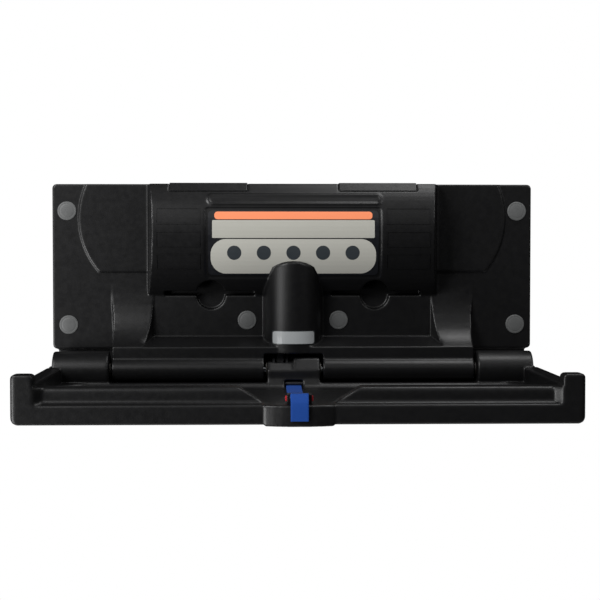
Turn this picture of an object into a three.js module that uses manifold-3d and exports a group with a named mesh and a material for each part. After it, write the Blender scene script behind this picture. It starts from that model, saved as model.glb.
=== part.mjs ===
// Baby changing station for a wall, shown folded open.
// Millimetres: +X right, +Y into the wall, +Z up, wall face at Y = 0, hinge axis at Z = 0.
// Outlines use the distance out from the wall, or the reach out from the hinge, as a positive number.
import * as THREE from 'three';
import { mergeVertices } from 'three/addons/utils/BufferGeometryUtils.js';
import Module from 'manifold-3d';

// Whole object
const WIDTH = 889;
const SKIN = 4;
const FIT = 0.3;
const PAST = 60;
const OVERCUT = 1;

// Facets
const ROUND = 20;
const BIG_ROUND = 48;
const SMALL_ROUND = 10;
const COLUMN_ROUND = 64;
const ARC_STEPS = 26;
const CORNER_STEPS = 4;
const CURVE_STEPS = 8;

// Hinge line
const HINGE_OUT = 60;
const ROD_R = 6;
const ROD_SHORT = 2.5;
const BARREL_R = 22;
const BARREL_PROUD = 1;
const BARREL_PLAY = 3;
const KNUCKLE_R = 34;
const KNUCKLE_GAP = 4.5;
const KNUCKLE_IN = 12;
const BAY_HALF = 54;
const BAY_TOP = 29;
const BUSH_R = 9;
const BUSH_LONG = 20;
const BUSH_SHORT = 8;
const BUSH_FLANGE_R = 13;
const BUSH_FLANGE = 2;
const RETAINER_R = 10;
const RETAINER = 3;
const RETAINER_PLAY = 2;

// Back panel
const PANEL_TOP = 341;
const PANEL_BOTTOM = 36;
const PANEL_OUT = 22;
const PANEL_CORNER = 8;
const SKIRT_BOTTOM = -34;
const SKIRT_OUT = 18;
const SKIRT_IN = 10;
const WEB_DROP = 16;
const PLATE = 1.5;
const PLATE_CORNER = 5;

// Raised side plates on the panel
const SIDE_RISE = 2.5;
const SIDE_LOW = 179;
const SIDE_EDGE = 49.5;
const SIDE_ARC_Z = 278;
const SIDE_ARC_R = 152;

// Liner dispenser bulge and its chambers
const BULGE_HALF = 258;
const BULGE_DRAFT = 10;
const BULGE_LOW = 135.5;
const ARC_BACK = 74;
const ARC_Z = 250;
const ARC_R = 150;
const CHAMBER_WALL = 5;
const CHAMBER_NEAR = 70;
const CHAMBER_FAR = 238;
const CHAMBER_BACK = 10;
const CHAMBER_TOP = 318;
const NECK_NEAR = 88;
const NECK_FAR = 223;
const NECK_BACK = 20.5;
const NECK_FRONT = 39.5;
const SLOT_HIGH = 8.1;
const FINGER_X = 152;
const FINGER_Z = 136.6;
const FINGER_R = 27;
const FINGER_DEEP = 12;

// Label, its recess, the bar frame above it and the name plate
const LABEL_HALF = 155.5;
const LABEL_MARGIN = 6.5;
const LABEL_LOW = 173;
const LABEL_HIGH = 291;
const LABEL_CORNER = 8;
const LABEL_RECESS = 1.5;
const LABEL = 0.6;
const LABEL_CLEAR = 2;
const BAR_LEFT = -157;
const BAR_RIGHT = 162;
const BAR_LOW = 302.6;
const BAR_HIGH = 321.5;
const BAR_EDGE = 3;
const BAR_RISE = 1.5;
const BAR_CORNER = 9;
const NAME_HALF = 39.5;
const NAME_LOW = 46.5;
const NAME_HIGH = 72;

// Gas spring column
const COLUMN_R = 54;
const COLUMN_OUT = 24;
const COLUMN_TILT = 0.02;
const COLUMN_TOP = 197;
const COLUMN_ARCH = 39;
const COLUMN_ROOM = 215;
const SPRING_TILT = 0.0696;

// Apron below the dispenser, with its two pockets
const APRON_HALF = 330;
const APRON_FLARE = 6;
const APRON_HORN_Z = 157.8;
const APRON_DIP = 30;
const APRON_BEND = 70;
const APRON_OUT = 70;
const APRON_LIP_TOP = 42;
const APRON_LIP_LOW = 22;
const POCKET_HALF = 258;
const POCKET_DRAFT = 18;
const POCKET_LOW = 58;

// Wall screw holes and their caps
const HOLE_R = 4.5;
const COUNTERBORE_R = 13;
const COUNTERBORE = 10;
const BOSS_R = 17;
const CAP_R = 17.5;
const CAP_EDGE = 1.6;
const CAP_CROWN = 2.6;
const CAP_WALL = 2;
const CAP_STEM = 8;
const TOP_HOLE_IN = 27;
const TOP_HOLE_Z = 291.5;
const LOW_HOLE_IN = 29.5;
const LOW_HOLE_Z = 81;
const MID_HOLE_X = 85;
const MID_HOLE_Z = 89;

// Flat head screws
const SCREW_R = 1.7;
const SCREW_HEAD_R = 3.2;
const SCREW_HEAD = 1.3;
const SCREW_LONG = 13;
const SCREW_SINK = 0.1;
const SCREW_BOSS_R = 6;
const PLATE_SCREW_SET = 14;
const PLATE_SCREW_HIGH = 250;
const PLATE_SCREW_LOW = 130;
const SKIRT_SCREW_X = 200;
const SKIRT_SCREW_Z = -8;

// Dispenser lids
const LID_NEAR = 84;
const LID_FAR = 227;
const LID = 3.2;
const LID_RISE = 1.5;
const LID_DROP = 14;
const LID_PIN_OUT = 14;
const LID_PIN_DOWN = 4;
const LID_PIN_R = 1.2;
const LID_PIN_INTO = 5;
const LID_BARREL_R = 3.5;
const LID_SWING = 6.3;

// Gas spring inside the column
const GAS_X = -24;
const GAS_OUT = 38;
const GAS_R = 10;
const GAS_BORE = 8;
const GAS_END = 8;
const GAS_LOW = 46;
const GAS_LONG = 140;
const GAS_ROD_R = 4;
const PISTON = 8;
const PISTON_Z = 122;
const EYE_R = 8;
const EYE_HALF = 6;
const EYE_RISE = 11;
const BRACKET = 3;
const BRACKET_HALF = 20;
const BRACKET_HIGH = 17;
const BRACKET_REACH = 46;
const CHEEK_HALF = 9.5;
const GAS_PIN_OUT = 2;

// Crank between the bed and the gas spring
const CRANK_R = 26;
const CRANK_PIN_R = 4;
const CRANK_PLATE = 4;
const CRANK_EDGE = 4.5;
const CRANK_PLAY = 1.2;
const CRANK_SLOT_LEFT = -38.5;
const CRANK_SLOT_RIGHT = -9.5;
const CRANK_ROOM_LOW = -27;
const CRANK_HUB_R = 9.5;
const YOKE_HALF = 6;
const YOKE_WALL = 4.6;
const YOKE_TOP = 8;
const YOKE_CAP = 8;

// Bed, measured from the hinge axis
const REACH = 392;
const BED_PROUD = 5;
const BED_LOW = -54;
const BED_CORNER = 7;
const BED_EDGE = 12;
const LEDGE_Z = -22.3;
const LEDGE = 12;
const RIM_Z = 5;
const RIM = 28;
const RIM_ROUND = 10;
const RIM_FOOT = 8;
const END_WALL = 28;
const HORN_Z = 25;
const HORN_WIDE = 36;
const HORN_DEEP = 33;
const HORN_FLARE = 12;
const HORN_ROUND = 7;
const FLOOR_Z = -33;
const FLOOR_ROUND = 18;
const FLOOR_CORNER = 30;
const FLOOR_BACK = 27;
const TROUGH_LOW = 52;
const TROUGH_HIGH = 97;
const PAN = 3.5;
const BED_SCREW_X = 250;
const BED_SCREW_SIDE = 200;
const BED_SCREW_BACK = -27;
const STIFFENER_X = 205;
const STIFFENER_WIDE = 30;
const STIFFENER = 3;
const STIFFENER_SET = 52;

// Handle at the middle of the bed's front
const HANDLE_HALF = 54;
const HANDLE_SIDE = 2;
const HANDLE_OUT = 12;
const HANDLE_DROP = 2.4;
const HANDLE_WALL = 5;
const GRIP_DEEP = 18;

// Middle knuckle of the bed
const MIDDLE_HALF = 48;
const MIDDLE_BACK = 16;
const MIDDLE_FRONT = 26;
const MIDDLE_TOE = 33;
const MIDDLE_HIGH = 22;
const MIDDLE_STEP = 7;
const MIDDLE_CHAMFER = 8;
const MIDDLE_WALL = 11;
const MIDDLE_BROW = 14;

// Safety strap, its anchor pin and its buckle
const STRAP_HALF = 14;
const STRAP = 1.6;
const STRAP_STEPS = 64;
const STRAP_GAP = 0.5;
const ANCHOR_R = 3;
const ANCHOR_REACH = 21;
const ANCHOR_Z = -23.6;
const ANCHOR_INTO = 5;
const MOUTH_HALF = 16;
const MOUTH_TOP = -17;
const MOUTH_BACK = 15;
const MOUTH_OUT = 48;
const BUCKLE_HALF = 19.5;
const BUCKLE_SET = 28;
const BUCKLE_LONG = 26;
const BUCKLE_HIGH = 15.4;
const BUCKLE_BASE = 2.4;
const BUCKLE_INSIDE = 14.6;
const BUCKLE_TOP = 2.5;
const BUCKLE_TOP_LONG = 12;
const GRIP_BAR_R = 2.2;
const GRIP_BAR_SET = 3.6;
const GRIP_BAR_RISE = 8.6;
const GRIP_BAR_INTO = 2.5;
const STRAP_EASE = 5;
const STRAP_RISE = 3;
const STRAP_FOLD = 6;
const TAIL_OUT = 0.8;
const TAIL_LOW = -47;
const BUTTON_BACK = 5;
const BUTTON_LONG = 10;
const BUTTON_HIGH = 8;
const BUTTON_OUT = 2.5;
const BUTTON_FLANGE = 1;
const BUTTON_LIP = 1.5;
const BUTTON_WINDOW = 1.6;

const wasm = await Module();
wasm.setup();

const SIDES = [-1, 1];
const HALF = WIDTH / 2;
const bedHalf = HALF + BED_PROUD;
const knuckleFar = bedHalf - KNUCKLE_IN;
const barrelEnd = APRON_HALF + BARREL_PROUD;
const apronHorn = APRON_HALF + APRON_FLARE;
const sideName = (side) => (side < 0 ? 'left' : 'right');
const span = (side, near, far) => (side < 0 ? [-far, -near] : [near, far]);

// Finishes
function finish(color, roughness, metalness) {
  return new THREE.MeshStandardMaterial({ color, roughness, metalness });
}
const BLACK_PLASTIC = finish('#1b1b1c', 0.45, 0);
const GREY_PLASTIC = finish('#6c6d6e', 0.5, 0);
const NYLON = finish('#d8d4c8', 0.5, 0);
const RED_PLASTIC = finish('#b3222b', 0.4, 0);
const STEEL = finish('#8e9194', 0.35, 1);
const DARK_STEEL = finish('#26272a', 0.45, 0.8);
const WEBBING = finish('#23478f', 0.85, 0);
const LABEL_FILM = finish('#c9c6bd', 0.5, 0);

// Turn a closed geometry into a solid that can be joined or cut.
function solid(geometry) {
  const bare = new THREE.BufferGeometry();
  bare.setAttribute('position', geometry.getAttribute('position'));
  bare.setIndex(geometry.index);
  const welded = mergeVertices(bare);
  const corners = welded.index.array;
  const kept = [];
  for (let i = 0; i < corners.length; i += 3) {
    const [a, b, c] = corners.subarray(i, i + 3);
    if (a !== b && b !== c && c !== a) kept.push(a, b, c);
  }
  const vertProperties = Float32Array.from(welded.getAttribute('position').array);
  const triVerts = Uint32Array.from(kept);
  return new wasm.Manifold(new wasm.Mesh({ numProp: 3, vertProperties, triVerts }));
}

function geometryOf(body) {
  const mesh = body.getMesh();
  const geometry = new THREE.BufferGeometry();
  geometry.setAttribute('position', new THREE.BufferAttribute(mesh.vertProperties, 3));
  geometry.setIndex(new THREE.BufferAttribute(mesh.triVerts, 1));
  geometry.computeVertexNormals();
  return geometry;
}

const join = (bodies) => bodies.reduce((all, body) => all.add(body));
const cut = (body, tools) => tools.reduce((left, tool) => left.subtract(tool), body);

function polygon(points) {
  return new THREE.Shape(points.map(([a, b]) => new THREE.Vector2(a, b)));
}

function roundedRect(left, low, right, high, radius) {
  const shape = new THREE.Shape();
  shape.moveTo(left + radius, low);
  shape.lineTo(right - radius, low);
  shape.absarc(right - radius, low + radius, radius, -Math.PI / 2, 0);
  shape.lineTo(right, high - radius);
  shape.absarc(right - radius, high - radius, radius, 0, Math.PI / 2);
  shape.lineTo(left + radius, high);
  shape.absarc(left + radius, high - radius, radius, Math.PI / 2, Math.PI);
  shape.lineTo(left, low + radius);
  shape.absarc(left + radius, low + radius, radius, Math.PI, Math.PI * 1.5);
  return shape;
}

function extruded(shape, depth, bevel) {
  return new THREE.ExtrudeGeometry(shape, {
    depth,
    bevelEnabled: bevel > 0,
    bevelThickness: bevel,
    bevelSize: bevel,
    bevelSegments: CORNER_STEPS,
    curveSegments: bevel > 0 ? CORNER_STEPS : CURVE_STEPS,
  });
}

// An outline of (distance out, height) carried along X.
function alongX(shape, from, to) {
  const turn = new THREE.Matrix4().makeBasis(
    new THREE.Vector3(0, -1, 0),
    new THREE.Vector3(0, 0, 1),
    new THREE.Vector3(-1, 0, 0),
  );
  return solid(extruded(shape, to - from, 0).applyMatrix4(turn).translate(to, 0, 0));
}

// An outline of (x, height) carried out from the wall.
function alongY(shape, near, far) {
  return solid(extruded(shape, far - near, 0).rotateX(Math.PI / 2).translate(0, -near, 0));
}

// A plan of (x, distance out) carried down from high to low, with a rounded lower edge if asked.
function alongZ(shape, low, high, bevel = 0) {
  return solid(extruded(shape, high - low - bevel, bevel).rotateX(Math.PI).translate(0, 0, high));
}

function block(left, right, near, far, low, high) {
  const box = new THREE.BoxGeometry(right - left, far - near, high - low);
  return solid(box.translate((left + right) / 2, -(near + far) / 2, (low + high) / 2));
}

function barX(radius, from, to, out, z, facets = ROUND) {
  const bar = new THREE.CylinderGeometry(radius, radius, to - from, facets);
  return solid(bar.rotateZ(Math.PI / 2).translate((from + to) / 2, -out, z));
}

function barY(radius, near, far, x, z, facets = ROUND) {
  const bar = new THREE.CylinderGeometry(radius, radius, far - near, facets);
  return solid(bar.translate(x, -(near + far) / 2, z));
}

function barZ(radius, low, high, x, out, facets = ROUND) {
  const bar = new THREE.CylinderGeometry(radius, radius, high - low, facets);
  return solid(bar.rotateX(Math.PI / 2).translate(x, -out, (low + high) / 2));
}

function lathed(profile, facets) {
  return new THREE.LatheGeometry(profile.map(([r, h]) => new THREE.Vector2(r, h)), facets);
}

function addPiece(group, name, body, material) {
  const mesh = new THREE.Mesh(geometryOf(body), material);
  mesh.name = name;
  group.add(mesh);
  return mesh;
}

// The dispenser's front is an arc about a line behind the wall.
const arcOut = (radius, z) => Math.sqrt(radius ** 2 - (z - ARC_Z) ** 2) - ARC_BACK;

function arcSide(radius) {
  const side = [];
  for (let i = 0; i <= ARC_STEPS; i += 1) {
    const z = THREE.MathUtils.lerp(BULGE_LOW, PANEL_TOP, i / ARC_STEPS);
    side.push([arcOut(radius, z), z]);
  }
  return side;
}

function arcBand(inner, outer, front) {
  const band = polygon([...arcSide(inner), ...arcSide(outer).reverse()]);
  return alongX(band, -BULGE_HALF, BULGE_HALF).intersect(alongY(front, 0, PAST + ARC_R));
}

function bulge() {
  const side = polygon([[0, BULGE_LOW], ...arcSide(ARC_R), [0, PANEL_TOP]]);
  const base = BULGE_HALF + BULGE_DRAFT;
  const crest = ARC_R - ARC_BACK;
  const plan = polygon([
    [-base, 0], [-base, PANEL_OUT], [-BULGE_HALF, crest],
    [BULGE_HALF, crest], [base, PANEL_OUT], [base, 0],
  ]);
  return alongX(side, -base, base).intersect(alongZ(plan, BULGE_LOW, PANEL_TOP));
}

// The gas spring's housing is a tilted cylinder that runs up into the dispenser's front.
function column(radius, low, high, back, tilt = COLUMN_TILT) {
  const tube = new THREE.CylinderGeometry(radius, radius, 2 * PANEL_TOP, COLUMN_ROUND);
  tube.rotateX(Math.PI / 2).rotateX(-tilt).translate(0, -COLUMN_OUT, BAY_TOP);
  return solid(tube).intersect(block(-radius, radius, back, PAST + radius, low, high));
}

// The housing ends in an arch over the lower edge of the label.
function columnFront(grow) {
  const half = COLUMN_R + grow;
  const spring = COLUMN_TOP - COLUMN_ARCH;
  const arch = new THREE.Shape();
  arch.moveTo(half, BAY_TOP);
  arch.lineTo(half, spring);
  arch.absellipse(0, spring, half, COLUMN_ARCH + grow, 0, Math.PI);
  arch.lineTo(-half, BAY_TOP);
  const front = alongY(arch, 0, PAST + half);
  return column(half, BAY_TOP, COLUMN_TOP + grow, 0).intersect(front);
}

function labelOutline(grow) {
  return roundedRect(
    -LABEL_HALF - grow, LABEL_LOW - grow, LABEL_HALF + grow, LABEL_HIGH + grow, LABEL_CORNER,
  );
}

function barFrame() {
  const outline = roundedRect(BAR_LEFT, BAR_LOW, BAR_RIGHT, BAR_HIGH, BAR_CORNER);
  outline.holes.push(roundedRect(
    BAR_LEFT + BAR_EDGE, BAR_LOW + BAR_EDGE, BAR_RIGHT - BAR_EDGE, BAR_HIGH - BAR_EDGE,
    BAR_CORNER - BAR_EDGE,
  ));
  return arcBand(ARC_R - BAR_RISE, ARC_R + BAR_RISE, outline);
}

function sidePlate(side) {
  const middle = HALF - SIDE_EDGE - SIDE_ARC_R;
  const reachAt = (z) => middle + Math.sqrt(SIDE_ARC_R ** 2 - (z - SIDE_ARC_Z) ** 2);
  const edge = [];
  for (let i = 0; i <= ARC_STEPS; i += 1) {
    const z = THREE.MathUtils.lerp(SIDE_LOW, PANEL_TOP, i / ARC_STEPS);
    edge.push([side * reachAt(z), z]);
  }
  const outline = polygon([[side * BULGE_HALF, SIDE_LOW], ...edge, [side * BULGE_HALF, PANEL_TOP]]);
  return alongY(outline, PANEL_OUT - SIDE_RISE, PANEL_OUT + SIDE_RISE);
}

function apron() {
  const side = new THREE.Shape();
  side.moveTo(0, APRON_HORN_Z);
  side.lineTo(PANEL_OUT, APRON_HORN_Z);
  side.quadraticCurveTo(PANEL_OUT, APRON_BEND, APRON_OUT, APRON_LIP_TOP);
  side.lineTo(APRON_OUT, APRON_LIP_LOW);
  side.lineTo(HINGE_OUT, 0);
  side.lineTo(SKIRT_OUT, -WEB_DROP);
  side.lineTo(SKIRT_OUT, SKIRT_BOTTOM);
  side.lineTo(0, SKIRT_BOTTOM);
  const base = BULGE_HALF + BULGE_DRAFT;
  const front = new THREE.Shape();
  front.moveTo(-APRON_HALF, SKIRT_BOTTOM);
  front.lineTo(-APRON_HALF, APRON_LIP_TOP);
  front.lineTo(-apronHorn, APRON_HORN_Z);
  front.quadraticCurveTo(APRON_DIP - APRON_HALF, BULGE_LOW, -base, BULGE_LOW);
  front.lineTo(base, BULGE_LOW);
  front.quadraticCurveTo(APRON_HALF - APRON_DIP, BULGE_LOW, apronHorn, APRON_HORN_Z);
  front.lineTo(APRON_HALF, APRON_LIP_TOP);
  front.lineTo(APRON_HALF, SKIRT_BOTTOM);
  return alongX(side, -apronHorn, apronHorn).intersect(alongY(front, 0, PAST + APRON_OUT));
}

// Room in front of the panel's plane that the apron leaves clear around the screw caps.
function pocket() {
  const far = PAST + APRON_OUT;
  const slope = (POCKET_LOW - APRON_LIP_TOP) / (APRON_OUT - PANEL_OUT);
  const flare = POCKET_DRAFT / (APRON_OUT - PANEL_OUT);
  const drop = slope * (far - PANEL_OUT);
  const wide = POCKET_HALF + flare * (far - PANEL_OUT);
  const side = polygon([
    [PANEL_OUT, PANEL_TOP], [PANEL_OUT, POCKET_LOW], [far, POCKET_LOW - drop], [far, PANEL_TOP],
  ]);
  const plan = polygon([
    [-POCKET_HALF, PANEL_OUT], [-wide, far], [wide, far], [POCKET_HALF, PANEL_OUT],
  ]);
  return alongX(side, -wide, wide).intersect(alongZ(plan, SKIRT_BOTTOM, PANEL_TOP));
}

// Hollows that open at the back of the panel, behind the steel plate.
function panelHollows() {
  const base = BULGE_HALF + BULGE_DRAFT;
  const front = PANEL_OUT - SKIN;
  const low = PANEL_BOTTOM + SKIN;
  const middle = block(-base, base, -OVERCUT, front, low, BULGE_LOW - SKIN);
  const ends = SIDES.map((side) => {
    const [from, to] = span(side, base + SKIN, HALF - SKIN);
    return block(from, to, -OVERCUT, front, low, PANEL_TOP - SKIN);
  });
  const horns = SIDES.map((side) => {
    const [from, to] = span(side, POCKET_HALF + POCKET_DRAFT + SKIN, APRON_HALF - SKIN);
    const outline = new THREE.Shape();
    const back = front - OVERCUT;
    outline.moveTo(back, BULGE_LOW - SKIN);
    outline.quadraticCurveTo(back, APRON_BEND - SKIN, APRON_OUT - SKIN, APRON_LIP_TOP - SKIN);
    outline.lineTo(APRON_OUT - SKIN, APRON_LIP_LOW + SKIN);
    outline.lineTo(back, APRON_LIP_LOW + SKIN);
    return alongX(outline, from, to);
  });
  const spring = column(COLUMN_R - SKIN, BAY_TOP - OVERCUT, COLUMN_ROOM, -OVERCUT, SPRING_TILT);
  return [middle, ...ends, ...horns, spring];
}

function plateOutline(grow) {
  const inset = SKIN + FIT - grow;
  const upper = roundedRect(
    -HALF + inset, PANEL_BOTTOM + inset, HALF - inset, PANEL_TOP - inset, PLATE_CORNER,
  );
  const skirt = polygon([
    [-APRON_HALF + inset, SKIRT_BOTTOM + inset], [APRON_HALF - inset, SKIRT_BOTTOM + inset],
    [APRON_HALF - inset, PANEL_BOTTOM + 2 * inset], [-APRON_HALF + inset, PANEL_BOTTOM + 2 * inset],
  ]);
  return [upper, skirt];
}

const plateSolid = (grow, near, far) => (
  join(plateOutline(grow).map((shape) => alongY(shape, near, far)))
);

const wallHoles = SIDES.flatMap((side) => [
  [side * (HALF - TOP_HOLE_IN), TOP_HOLE_Z],
  [side * (HALF - LOW_HOLE_IN), LOW_HOLE_Z],
  [side * MID_HOLE_X, MID_HOLE_Z],
]);

const plateScrews = SIDES.flatMap((side) => [
  [side * (apronHorn + PLATE_SCREW_SET), PLATE_SCREW_HIGH],
  [side * (apronHorn + PLATE_SCREW_SET), PLATE_SCREW_LOW],
  [side * SKIRT_SCREW_X, SKIRT_SCREW_Z],
]);

function screwBody(grow) {
  const profile = [
    [0, 0], [SCREW_HEAD_R + grow, 0], [SCREW_R + grow, SCREW_HEAD],
    [SCREW_R + grow, SCREW_LONG + grow], [0, SCREW_LONG + grow],
  ];
  return lathed(profile, SMALL_ROUND);
}

const screwFromWall = (grow, x, z) => (
  solid(screwBody(grow).rotateX(Math.PI).translate(x, -SCREW_SINK, z))
);
const screwFromBelow = (grow, x, out) => (
  solid(screwBody(grow).rotateX(Math.PI / 2).translate(x, -out, BED_LOW + SCREW_SINK))
);

const backOfShell = PLATE + FIT;

// Liner chamber with its filling neck, its slot and its finger hole.
function chamber(side) {
  const inner = ARC_R - CHAMBER_WALL;
  const low = alongX(polygon([
    [CHAMBER_BACK, BULGE_LOW], ...arcSide(inner), [CHAMBER_BACK, PANEL_TOP],
  ]), ...span(side, CHAMBER_NEAR, CHAMBER_FAR));
  const room = low.intersect(block(-HALF, HALF, CHAMBER_BACK, PAST + ARC_R, BULGE_LOW, CHAMBER_TOP));
  const neck = block(
    ...span(side, NECK_NEAR, NECK_FAR), NECK_BACK, NECK_FRONT, CHAMBER_TOP - OVERCUT, PANEL_TOP + PAST,
  );
  const slot = block(
    ...span(side, CHAMBER_NEAR, CHAMBER_FAR), CHAMBER_BACK, PAST, BULGE_LOW, BULGE_LOW + SLOT_HIGH,
  );
  const finger = barY(FINGER_R, PANEL_OUT - FINGER_DEEP, PAST + ARC_R, side * FINGER_X, FINGER_Z);
  return join([room, neck, slot, finger]);
}

const lidPinZ = PANEL_TOP - LID_PIN_DOWN;
const lidUnder = PANEL_TOP + LID_RISE - LID;
const lidLow = PANEL_TOP - LID_DROP;
const lidBack = LID / 2;

// Seat that the lid drops into, with room for its hinge barrel to turn.
function lidSeat(side) {
  const under = lidUnder - FIT;
  const outline = polygon([
    [LID_PIN_OUT - LID_SWING, PANEL_TOP + PAST], [LID_PIN_OUT - LID_SWING, lidPinZ - LID_BARREL_R - FIT],
    [LID_PIN_OUT + LID_BARREL_R + FIT, lidPinZ - LID_BARREL_R - FIT],
    [LID_PIN_OUT + LID_BARREL_R + FIT, under],
    [arcOut(ARC_R, under) - LID - FIT, under], [arcOut(ARC_R, lidLow) - LID - FIT, lidLow - FIT],
    [PAST + ARC_R, lidLow - FIT], [PAST + ARC_R, PANEL_TOP + PAST],
  ]);
  const seat = alongX(outline, ...span(side, LID_NEAR - 2 * FIT, LID_FAR + 2 * FIT));
  const pinRoom = span(side, LID_NEAR - LID_PIN_INTO - FIT, LID_FAR + LID_PIN_INTO + FIT);
  return seat.add(barX(LID_PIN_R + FIT, ...pinRoom, LID_PIN_OUT, lidPinZ, SMALL_ROUND));
}

function fingerPost(side) {
  const back = PANEL_OUT - FINGER_DEEP - SKIN;
  const post = barY(FINGER_R + SKIN, back, PANEL_OUT, side * FINGER_X, FINGER_Z);
  return post.intersect(block(-HALF, HALF, 0, PANEL_OUT, PANEL_BOTTOM, BULGE_LOW));
}

function panelShell() {
  const flange = alongY(
    roundedRect(-HALF, PANEL_BOTTOM, HALF, PANEL_TOP, PANEL_CORNER), 0, PANEL_OUT,
  );
  const recess = arcBand(ARC_R - LABEL_RECESS, ARC_R + PAST, labelOutline(LABEL_MARGIN));
  const dispenser = bulge().subtract(recess).add(barFrame());
  const barrels = SIDES.map((side) => (
    barX(BARREL_R, ...span(side, BAY_HALF, barrelEnd), HINGE_OUT, 0, BIG_ROUND)
  ));
  const bay = block(-BAY_HALF, BAY_HALF, SKIRT_OUT, PAST + COLUMN_R, SKIRT_BOTTOM - PAST, BAY_TOP);
  const lower = apron().subtract(pocket()).add(join(barrels)).subtract(bay);
  const outer = join([
    flange, ...SIDES.map(sidePlate), dispenser, lower, columnFront(0),
  ]);
  const shell = cut(outer, panelHollows());
  const wings = SIDES.map((side) => block(
    ...span(side, APRON_HALF - SKIN, HALF - SKIRT_IN), SKIRT_OUT - SKIN, SKIRT_OUT,
    SKIRT_BOTTOM, PANEL_BOTTOM + SKIN,
  ));
  const posts = [
    ...wings,
    ...wallHoles.map(([x, z]) => barY(BOSS_R, backOfShell, PANEL_OUT, x, z)),
    ...plateScrews.map(([x, z]) => barY(SCREW_BOSS_R, backOfShell, SKIRT_OUT, x, z, SMALL_ROUND)),
    ...SIDES.map(fingerPost),
  ];
  const holes = [
    plateSolid(FIT, -OVERCUT, backOfShell),
    ...SIDES.map(chamber),
    ...SIDES.map(lidSeat),
    ...wallHoles.map(([x, z]) => barY(COUNTERBORE_R, PANEL_OUT - COUNTERBORE, PAST, x, z)),
    ...wallHoles.map(([x, z]) => barY(HOLE_R, 0, PANEL_OUT, x, z, SMALL_ROUND)),
    ...plateScrews.map(([x, z]) => screwFromWall(FIT, x, z)),
    barX(ROD_R + FIT, -HALF, HALF, HINGE_OUT, 0, ROUND),
  ];
  return cut(join([shell, ...posts]), holes);
}

function wallPlate() {
  const holes = [
    ...wallHoles.map(([x, z]) => barY(HOLE_R, -OVERCUT, PAST, x, z, SMALL_ROUND)),
    ...plateScrews.map(([x, z]) => screwFromWall(FIT, x, z)),
    ...plateScrews.map(([x, z]) => barY(SCREW_HEAD_R + FIT, -OVERCUT, SCREW_SINK, x, z, SMALL_ROUND)),
  ];
  return cut(plateSolid(0, 0, PLATE), holes);
}

function holeCap() {
  const profile = [
    [0, FIT + CAP_CROWN], [CAP_R - CAP_EDGE, FIT + CAP_EDGE], [CAP_R, FIT], [COUNTERBORE_R - FIT, FIT],
    [COUNTERBORE_R - FIT, -CAP_STEM], [COUNTERBORE_R - FIT - CAP_WALL, -CAP_STEM],
    [COUNTERBORE_R - FIT - CAP_WALL, FIT], [0, FIT],
  ];
  return solid(lathed(profile.reverse(), ROUND).rotateX(Math.PI));
}

function infoLabel() {
  const inner = ARC_R - LABEL_RECESS + FIT;
  const sheet = arcBand(inner, inner + LABEL, labelOutline(0));
  return sheet.subtract(columnFront(LABEL_CLEAR));
}

function namePlate() {
  const outer = column(COLUMN_R + FIT + LABEL, BAY_TOP, ARC_Z, 0);
  const sheet = outer.subtract(column(COLUMN_R + FIT, 0, PANEL_TOP, -OVERCUT));
  const front = roundedRect(-NAME_HALF, NAME_LOW, NAME_HALF, NAME_HIGH, BAR_EDGE);
  return sheet.intersect(alongY(front, COLUMN_OUT, PAST + COLUMN_R + COLUMN_OUT));
}

// A lid lies on its seat with its front flange hanging over the dispenser's top edge.
function lid(side) {
  const top = PANEL_TOP + LID_RISE;
  const outline = polygon([
    [LID_PIN_OUT - lidBack, lidUnder], [LID_PIN_OUT - lidBack, top], [arcOut(ARC_R, PANEL_TOP), top],
    [arcOut(ARC_R, lidLow), lidLow], [arcOut(ARC_R, lidLow) - LID, lidLow],
    [arcOut(ARC_R, lidUnder) - LID, lidUnder],
  ]);
  const sheet = alongX(outline, ...span(side, LID_NEAR, LID_FAR));
  const barrel = barX(LID_BARREL_R, ...span(side, LID_NEAR, LID_FAR), LID_PIN_OUT, lidPinZ, SMALL_ROUND);
  const bore = barX(LID_PIN_R + FIT, -HALF, HALF, LID_PIN_OUT, lidPinZ, SMALL_ROUND);
  return sheet.add(barrel).subtract(bore);
}

function lidPin(side) {
  const [from, to] = span(side, LID_NEAR - LID_PIN_INTO, LID_FAR + LID_PIN_INTO);
  return barX(LID_PIN_R, from, to, LID_PIN_OUT, lidPinZ, SMALL_ROUND);
}

function retainer() {
  return barX(RETAINER_R, 0, RETAINER, 0, 0).subtract(barX(ROD_R + FIT, -PAST, PAST, 0, 0));
}

// Gas spring: a closed tube with an eye on top, and a rod with a piston that slides in it.
const eyeZ = GAS_LOW + GAS_LONG + EYE_RISE;

function gasCylinder() {
  const gland = GAS_ROD_R + FIT;
  const profile = [
    [gland, 0], [GAS_R, 0], [GAS_R, GAS_LONG], [0, GAS_LONG], [0, GAS_LONG - GAS_END],
    [GAS_BORE, GAS_LONG - GAS_END], [GAS_BORE, GAS_END], [gland, GAS_END], [gland, 0],
  ];
  const tube = solid(lathed(profile, ROUND).rotateX(Math.PI / 2).translate(GAS_X, -GAS_OUT, GAS_LOW));
  const neck = barZ(CRANK_PIN_R, GAS_LOW + GAS_LONG - OVERCUT, eyeZ, GAS_X, GAS_OUT, SMALL_ROUND);
  const eye = barX(EYE_R, GAS_X - EYE_HALF, GAS_X + EYE_HALF, GAS_OUT, eyeZ);
  const bore = barX(CRANK_PIN_R + FIT, GAS_X - PAST, GAS_X + PAST, GAS_OUT, eyeZ);
  return join([tube, neck, eye]).subtract(bore);
}

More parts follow.
